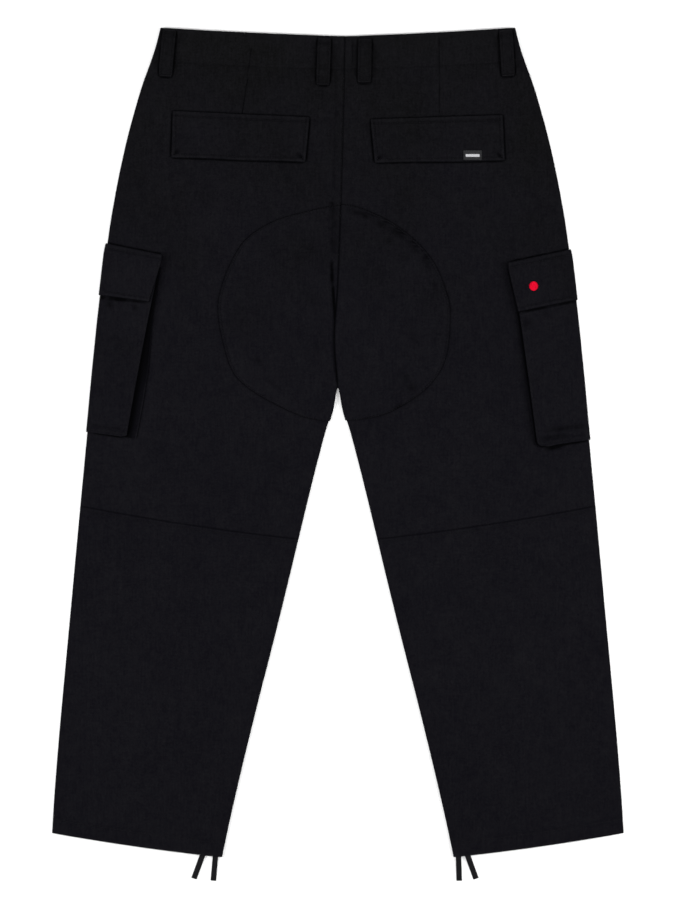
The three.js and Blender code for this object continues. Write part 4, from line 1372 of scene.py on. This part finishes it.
def add_cargo_pocket(side, tag):
    cargo = CARGO[tag]
    edge_base = along(OUTSEAM, cargo["base"])
    upper = along(OUTSEAM, cargo["mouth"]) - cargo["top"] - cargo["gusset"]

    def reach(level):
        return reach_at(cargo, level)

    def gusset(level):
        share = (cargo["mouth"] - level) / (cargo["mouth"] - cargo["base"])
        return np.interp(share, *GUSSETS[tag])

    def total(level):
        return reach_at(cargo, level) + cargo["gusset"]

    columns = wrap_columns(reach, total)
    first_pleat = len(columns)
    for extra, share, _ in PLEAT:
        columns.append(("back", lambda level, e=extra, s=share:
                        reach(level) + e + s * gusset(level)))
    heights = np.array([share for _, _, share in PLEAT])
    down = graded(0, 1, POCKET_STEP, [0], POCKET_FOOT_LEAD)[:, None]

    def target(x):
        top = cargo["mouth"] + lerp(POCKET_REAR_TOP, POCKET_TOP, (x - upper) / (BEYOND - upper))
        base = cargo["base"] + cargo["rise"] * (edge_base - x)
        return lerp(top, base, down)

    def move(level, across):
        share = stand_share(cargo, level, across)
        share[:, first_pleat:] = heights
        share[:, FRONT] = 0
        fullness = cargo["stand"] * opened(cargo, level)
        dip = 0.9 * np.sin(np.pi * np.clip(across / reach(level), 0, 1)) ** 2
        dip = dip * smooth(level, cargo["base"] + 10, cargo["base"] + 50)
        own = dip * np.sin((cargo["mouth"] - level) / 68 * np.pi + side) * 0.6
        own[:, first_pleat:] = 0
        own[:, :BACK_COLUMN] = 0
        return GAP + CLOTH + share * fullness + own

    start = lerp(cargo["mouth"], cargo["base"], down) + np.zeros((1, len(columns)))
    outside, level, across = wrap_grid(side, columns, start, target, move)
    back = slice(BACK_COLUMN, first_pleat)
    x, y = outside[:, back, 0], outside[:, back, 1]
    from_rear = reach(level[:, back]) - across[:, back]
    base_line = cargo["base"] + cargo["rise"] * (edge_base - side * x)
    above = y - base_line
    relief = puckered(y, from_rear, 17, 0.3, 16, side) + puckered(x, above, 11, 0.3, 18, side)
    relief = relief - 0.3 * hump(from_rear - 3.2, 1.0) - 0.35 * hump(above - POCKET_HEM, 1.3)
    relief = relief + 0.5 * hump(above - 13, 4) * (1 if side > 0 else 0.3)
    outside[:, back, 2] += relief * smooth(across[:, back], 4, 14) * smooth(above, 0.5, 3)
    radius = POCKET_CORNERS[tag]
    down_in = radius - np.clip(above, 0, radius)
    inset = radius - np.sqrt(radius ** 2 - down_in ** 2)
    outside[:, back, 0] += side * inset * (1 - smooth(from_rear, 0, 30))
    outside[:, first_pleat:, 0] += side * inset[:, -1:]
    tone = np.zeros(outside.shape[:2])
    # Painted shade in the hem's stitch groove and in the gusset's pleat, which fades towards its
    # foot; the rear edge is lighter, worn.
    tone[:, back] = 0.2 * hump(from_rear - 1.6, 1.4) - 0.4 * hump(above - POCKET_HEM, 1.2)
    strip = np.array([share for _, share, _ in PLEAT])
    foot = smooth(down, 0.5, 0.8)
    painted_shade = GUSSET_PAINTED_SHADE - 0.5 * smooth(strip, 0.82, 1) - 0.5 * smooth(strip, 0.3, 0.8) * foot
    tone[:, first_pleat:] = -painted_shade
    wall = np.full((1, outside.shape[1], 1), CLOTH)
    wall[:, first_pleat:] = PLEAT_WALL
    rows, count = outside.shape[:2]
    normals = outward(outside, rows // 2, count // 2 + 8)
    dress(f"cargo_pocket_{tag}", outside, outside - normals * wall, POCKET_CLOTH[tag], tone)
    rear = first_pleat - 3
    sew_on("pockets", (outside, normals), np.s_[:-6, rear], np.s_[rows - 7, 10:rear])


cargo_flaps = {}


def add_cargo_flap(side, tag):
    cargo = CARGO[tag]
    (ax, ay), (bx, by), (cx, cy), (dx, dy) = CARGO_FLAPS[tag]

    def rear(level):
        x = np.interp(level, [cy, by], [cx, bx])
        return along(OUTSEAM, level) - x

    columns = wrap_columns(rear, rear)
    down = graded(0, 1, CARGO_FLAP_STEP, *CARGO_FLAP_LEADS)[:, None]

    def target(x):
        top = lerp(by, ay, (x - bx) / (ax - bx))
        bottom = lerp(cy, dy, (x - cx) / (dx - cx))
        return lerp(top, bottom, down)

    def under(level, across):
        climbed = smooth(level, ay - CARGO_FLAP_RISE, ay + 4)
        fullness = cargo["stand"] * opened(cargo, level) * stand_share(cargo, level, across)
        fullness[:, FRONT] = 0
        hang = 0.8 * smooth(down, 0.5, 1) * smooth(across, 20, 60)
        hang[:, FRONT] = 0
        return lerp(GAP + fullness + PLY + hang, GAP, climbed)

    def move(level, across):
        edge = np.minimum(down, 1 - down) * (ay - dy)
        gap = np.minimum(edge, np.maximum(rear(level) - across, 0))
        return under(level, across) + CLOTH * edge_round(gap, 1.1, 0.3)

    start = lerp(by, cy, down) + np.zeros((1, len(columns)))
    outside, level, across = wrap_grid(side, columns, start, target, move)
    inside, _, _ = wrap_grid(side, columns, start, target, under)
    back = slice(BACK_COLUMN, None)
    from_rear = rear(level[:, back]) - across[:, back]
    drop = down * (ay - dy)
    hem = (1 - down) * (ay - dy)
    x = outside[:, back, 0]
    relief = puckered(x, hem, 9, 0.28, 12, side) + puckered(x, drop, 12, 0.25, 12, side + 2)
    relief = relief - 0.3 * hump(hem - CARGO_FLAP_SEWN, 0.9)
    relief = relief - 0.3 * hump(drop - CARGO_FLAP_TOP_SEWN, 0.9)
    relief = relief - 0.3 * hump(from_rear - 4, 0.9)
    keep = smooth(across[:, back], 4, 12) * smooth(hem, 0.3, 2) * smooth(drop, 0.3, 2)
    outside[:, back, 2] += relief * keep
    tone = np.zeros(outside.shape[:2])
    # The rolled edges are lighter, worn; painted shade lies along the stitch rows and at the
    # flap's very edges.
    tone[:, back] = 0.3 * hump(hem - 2.4, 1.4) + 0.25 * hump(from_rear - 2, 1.2)
    stitch_row_shade = 0.35 * hump(drop - CARGO_FLAP_TOP_SEWN, 1) + 0.35 * hump(hem - CARGO_FLAP_SEWN, 1)
    tone[:, back] += 0.3 * hump(drop - 3, 1.6) - stitch_row_shade
    tone[:, back] -= 0.7 * hump(drop, 0.8) + 0.6 * hump(hem, 0.6) + 0.5 * hump(from_rear, 0.6)
    dress(f"cargo_flap_{tag}", outside, inside, TWILL, tone)
    cargo_flaps[tag] = outside
    bottom, upper = row_near(hem[:, 0], CARGO_FLAP_SEWN), row_near(drop[:, 0], CARGO_FLAP_TOP_SEWN)
    sew_on("pockets", (outside, outward(outside, outside.shape[0] // 2, BACK_COLUMN + 10)),
           np.s_[bottom, 4:-2], np.s_[upper, 4:-2], np.s_[upper:bottom, -3])


def height_on(grid, x, y):
    """Height of a grid's face at a place, from its nearest points."""
    flat = grid.reshape(-1, 3)
    far = np.hypot(flat[:, 0] - x, flat[:, 1] - y)
    near = np.argsort(far)[:4]
    weight = 1 / (far[near] + 0.05)
    return float(np.sum(flat[near, 2] * weight) / np.sum(weight))


def add_dot():
    """A small round satin-stitched dot."""
    back = cargo_flaps["R"][:, BACK_COLUMN:]
    radius = DOT["radius"]
    rows = []
    for offset in np.arange(-radius + 0.35, radius - 0.2, DOT["pitch"]):
        half = math.sqrt(radius ** 2 - offset ** 2)
        ends = []
        for sign in (-1, 1):
            x, y = DOT["x"] + sign * half, DOT["y"] + offset
            ends.append((x, y, height_on(back, x, y) + 0.25))
        rows.append(ends)
    steps, sides, thick = 9, 6, DOT["thread"]
    points, faces = [], []
    for start, stop in np.array(rows):
        first = len(points)
        for k in range(steps):
            share = k / (steps - 1)
            centre = lerp(start, stop, share)
            dome = 0.35 * math.sin(math.pi * share)
            size = 0.35 + 0.65 * math.sin(math.pi * share) ** 0.4
            for j in range(sides):
                angle = 2 * math.pi * j / sides
                points.append((centre[0], centre[1] + thick * size * math.cos(angle),
                               centre[2] + dome + thick * size * math.sin(angle)))
        for k in range(steps - 1):
            for j in range(sides):
                a, b = first + k * sides + j, first + k * sides + (j + 1) % sides
                faces.append([a, a + sides, b + sides, b])
        faces.append([first + j for j in range(sides)])
        faces.append([first + (steps - 1) * sides + j for j in range(sides)][::-1])
    piece = mesh_object("embroidered_dot", points, faces, RED, sharp=80)
    finish(piece, [])


# Belt loops

LOOP_SEWN = 6.4
BAR_TACK = {"half": 7.2, "stitches": 20, "reach": 1.1}


def add_back_loop(name, ends):
    upper, lower = (np.array(end, float) for end in ends)
    length = np.linalg.norm(lower - upper)
    band = PLY + EDGE_HEIGHT + BAND_PROUD
    tab, slope, bend = LOOP["tab"], LOOP["slope"], LOOP["bend"]
    foot = band - BAND_PROUD + GAP
    route = [
        (0, band + GAP), (tab * 0.6, band + GAP), (tab, band + GAP + 0.1),
        (tab + bend, band + GAP + LOOP["lift"]),
        (tab + slope, band + LOOP["clear"] - 0.3), (tab + slope + 5, band + LOOP["clear"]),
        (length - tab - slope - 5, band + LOOP["clear"]),
        (length - tab - slope, band + LOOP["clear"] - 0.4),
        (length - tab - bend, foot + LOOP["lift"]), (length - tab, foot + 0.1),
        (length - tab * 0.6, foot), (length, foot),
    ]
    path = spline(route, 70)
    half = LOOP["width"] / 2
    over = np.array([2.2, 4.5, 5.9, LOOP_SEWN, 6.9, 7.6, 8.4, 8.8, half])
    over = np.array([*-over[::-1], 0, *over])
    edge = half - np.abs(over)
    crown = LOOP["wall"] * edge_round(edge, 1.0, 0.3) - 0.28 * hump(np.abs(over) - LOOP_SEWN, 0.6)
    down = (lower - upper) / length
    across = np.array([-down[1], down[0]])
    run, z = path[:, :1], path[:, 1:]
    ends_in = np.minimum(run, length - run)
    x = upper[0] + down[0] * run + across[0] * over
    y = upper[1] + down[1] * run + across[1] * over
    wave = 0.12 * np.sin(run / 3.1 + over / 5)
    low = z + 0 * over
    high = z + crown * edge_round(ends_in, 1.2, 0.35) + wave * smooth(edge, 0.2, 1)
    outside = np.stack(np.broadcast_arrays(x, y, high), -1)
    inside = np.stack(np.broadcast_arrays(x, y, low), -1)
    # Lighter, worn, near the edges; painted shade along the stitch rows, at the very edges and at
    # the lower end.
    tone = 0.15 * hump(edge - 1.4, 0.8) - 0.3 * hump(np.abs(over) - LOOP_SEWN, 0.7)
    tone = tone - 0.6 * hump(edge, 0.5) - 0.5 * (1 - smooth(length - run, 0.5, 4.5))
    dress(name, outside, inside, TWILL, tone)
    sew_on("loops", (outside, outward(outside, 35, 9)), np.s_[:, 5], np.s_[:, -6])
    for at in (tab * 0.45, length - tab * 0.45):
        row = row_near(path[:, 0], at)
        for k in range(BAR_TACK["stitches"]):
            offset = lerp(-BAR_TACK["half"], BAR_TACK["half"], k / (BAR_TACK["stitches"] - 1))
            place = upper + down * path[row, 0] + across * offset
            top = float(np.interp(offset, over, outside[row, :, 2]))
            start, stop = place - down * BAR_TACK["reach"], place + down * BAR_TACK["reach"]
            sew("loops", [(*start, top), (*stop, top)], pitch=2.0, length=2.2, radius=0.3,
                lift=0.16)


def front_sheet(node, side, x, y, edge):
    """A flat piece pressed under the front. edge is the distance to its own edge."""
    level = level_at(side, x, y)
    lift = lifted(level, leg_at(side, level)[2] - side * x, x)
    inside = np.stack([x, y, lift - GAP], -1)
    outside = np.stack([x, y, lift - GAP - CLOTH * edge_round(edge, 1.0, 0.3)], -1)
    dress(node, outside, inside, TWILL)
    return outside, outward(outside, 6, 6, -UP)


def add_front_loop(side, tag):
    width = LOOP["width"]
    _, _, ru, rv, edge = corner_grid(width, FRONT_LOOP["length"], (2.2, 2.5), 0.8,
                                     [0, 0.25, 0.6, 1.1, 1.8, 2.6])
    x = side * (FRONT_LOOP["x"] - width / 2 + ru)
    sheet = front_sheet(f"belt_loop_front_{tag}", side, x, FRONT_LOOP["top"] - rv, edge)
    sew_on("front", sheet, np.s_[:, 5], np.s_[:, -6])
    sew_on("front", sheet, np.s_[4, 2:-2], np.s_[-5, 2:-2], pitch=1.0, length=1.6, radius=0.25)


FLY_LEAD = [0, 0.3, 0.7, 1.2, 2.0, 3.0, 4.2, 5.0, 5.8]


def add_fly():
    width, top, bottom, round_ = FLY["width"], FLY["top"], FLY["bottom"], FLY["round"]
    t = np.linspace(0, 1, 200)
    curve_x = lerp(lerp(12, -width, t), -width, t)
    curve_y = lerp(bottom, bottom + round_, t)
    v = graded(0, top - bottom - 2.5, 3, FLY_LEAD, FLY_LEAD)[:, None]
    y_outer = top - v
    x_outer = np.where(y_outer > bottom + round_, -width,
                       np.interp(y_outer, curve_y, curve_x))
    x_seam = -inner_edge(-1, y_outer)
    room = x_seam - x_outer
    share = graded(0, 1, 0.07, [0, 0.01, 0.02, 0.035, 0.055, 0.08, 0.1, 0.12], [0, 0.01, 0.03])
    x = x_outer + room * share[None, :]
    edge = np.minimum(np.minimum(x - x_outer, v), 30)
    sheet = front_sheet("fly_placket", -1, x, y_outer + 0 * x, edge)
    sew_on("front", sheet, np.s_[1:-1, 5], np.s_[1:-1, 8])


def add_button():
    """Four-hole button, its rim raised, sewn with a cross of thread."""
    centre_x = float(along(CENTRE_SEAM, BUTTON["y"])) - BUTTON["from_seam"]
    radius = BUTTON["radius"]
    profile = [(0, 0.45), (2.8, 0.45), (4.6, 0.42), (5.4, 0.2), (6.4, 0.02), (7.6, 0.05),
               (8.3, 0.35), (radius, 0.75), (8.3, 1.15), (7.4, 1.38), (0, 1.4)]
    turns = 48
    points = [(centre_x, BUTTON["y"], profile[0][1])]
    for r, z in profile[1:-1]:
        for k in range(turns):
            angle = 2 * math.pi * k / turns
            points.append((centre_x + r * math.cos(angle), BUTTON["y"] + r * math.sin(angle), z))
    points.append((centre_x, BUTTON["y"], profile[-1][1]))
    faces = []
    rings = len(profile) - 2
    for k in range(turns):
        after = (k + 1) % turns
        faces.append([0, 1 + after, 1 + k])
        for ring in range(rings - 1):
            a, b = 1 + ring * turns + k, 1 + ring * turns + after
            faces.append([a, b, b + turns, a + turns])
        last = 1 + (rings - 1) * turns
        faces.append([last + k, last + after, len(points) - 1])
    finish(mesh_object("waist_button_disc", points, faces, PLASTIC, sharp=40),
           ["waist_button"])
    for turn in (45, 135):
        dx, dy = (1.6 * math.cos(math.radians(turn)), 1.6 * math.sin(math.radians(turn)))
        ends = [(centre_x - dx, BUTTON["y"] - dy, 0.4), (centre_x + dx, BUTTON["y"] + dy, 0.4)]
        sew("front", ends, pitch=3.0, length=3.2, radius=0.3, down=True)


# Drawstring ends

def add_cord(name, x, y, turn):
    """A flat braid that leaves its hem, sinks to the surface and ends free."""
    inside, length, settle = CORD["inside"], CORD["length"], CORD["settle"]
    middle, low = EDGE_HEIGHT / 2, CORD["thick"] / 2
    route = [
        (inside, middle), (inside / 2, middle), (0, middle), (-settle / 3, middle - 0.3),
        (-settle, low + 0.25), (-settle * 1.6, low + 0.05), (inside - length, low + 0.05),
    ]
    path = spline(route, 72)
    angle = math.radians(turn)
    along_way = np.array([-math.sin(angle), math.cos(angle)])
    over = np.array([math.cos(angle), math.sin(angle)])
    around = 20
    turns = 2 * np.pi * np.arange(around) / around
    wide = CORD["width"] / 2 * np.sign(np.cos(turns)) * np.abs(np.cos(turns)) ** 0.7
    high = CORD["thick"] / 2 * np.sign(np.sin(turns)) * np.abs(np.sin(turns)) ** 0.7
    points = []
    for run, z in path:
        braid = 1 + 0.05 * np.sin(run * 2.6 + turns * 3) * np.sin(run * 2.6 - turns * 3)
        centre = np.array([x, y]) + along_way * run
        for w, h in zip(wide * braid, high * braid):
            points.append((*(centre + over * w), z + h))
    faces = [face[::-1] for face in tube_faces(len(path), around)]
    piece = mesh_object(f"braid_{name}", points, faces, BRAID, sharp=70)
    finish(piece, [name])


# Camera, light and floor

def add_camera():
    data = bpy.data.cameras.new("camera")
    data.sensor_width = SENSOR
    data.lens = LENS
    camera = bpy.data.objects.new("camera", data)
    camera.location = (*VIEW_CENTRE, VIEW_HEIGHT)
    collection.objects.link(camera)
    bpy.context.scene.camera = camera


def add_light(name, place, aim, size, power):
    data = bpy.data.lights.new(name, "AREA")
    data.shape = "RECTANGLE"
    data.size, data.size_y = size
    data.energy = power
    lamp = bpy.data.objects.new(name, data)
    lamp.location = place
    way = np.array(aim, float) - np.array(place, float)
    tilt = math.atan2(math.hypot(way[0], way[1]), -way[2])
    lamp.rotation_euler = (tilt, 0, math.atan2(way[1], way[0]) - math.pi / 2)
    collection.objects.link(lamp)


def add_studio():
    for side in (-1, 1):
        add_light(f"side_{side + 1}", (side * 1.6, -0.05, 1.6), (side * 0.1, -0.14, 0),
                  (0.8, 1.2), 38)
    add_light("top", (0, -0.2, 3.4), (0, -0.1, 0), (1.6, 1.6), 54)
    mesh = bpy.data.meshes.new("floor")
    corners = [(-1, -1), (1, -1), (1, 1), (-1, 1)]
    mesh.from_pydata([(FLOOR_HALF * x, FLOOR_HALF * y, FLOOR_HEIGHT) for x, y in corners], [],
                     [(0, 1, 2, 3)])
    material = bpy.data.materials.new("studio_floor")
    material.use_nodes = True
    shader = material.node_tree.nodes["Principled BSDF"]
    shader.inputs["Base Color"].default_value = (0.9, 0.9, 0.9, 1)
    shader.inputs["Roughness"].default_value = 0.9
    mesh.materials.append(material)
    floor = bpy.data.objects.new("floor", mesh)
    collection.objects.link(floor)
    world = bpy.data.worlds.new("studio")
    world.use_nodes = True
    sky = world.node_tree.nodes["Background"]
    sky.inputs[0].default_value = (1, 1, 1, 1)
    sky.inputs[1].default_value = 0.2
    bpy.context.scene.world = world
    bpy.context.scene.view_settings.view_transform = "Standard"


add_camera()
for cord_name, cord_place in CORDS.items():
    add_cord(cord_name, *cord_place)
add_panels()
sew_panels()
for side, tag in SIDES:
    add_seat_patch(side, tag)
    add_back_flap(side, tag)
    add_cargo_pocket(side, tag)
    add_cargo_flap(side, tag)
    add_front_loop(side, tag)
add_label()
add_dot()
for loop_name, loop_ends in BACK_LOOPS.items():
    add_back_loop(loop_name, loop_ends)
add_fly()
add_button()
weave_threads(THREAD)
add_studio()
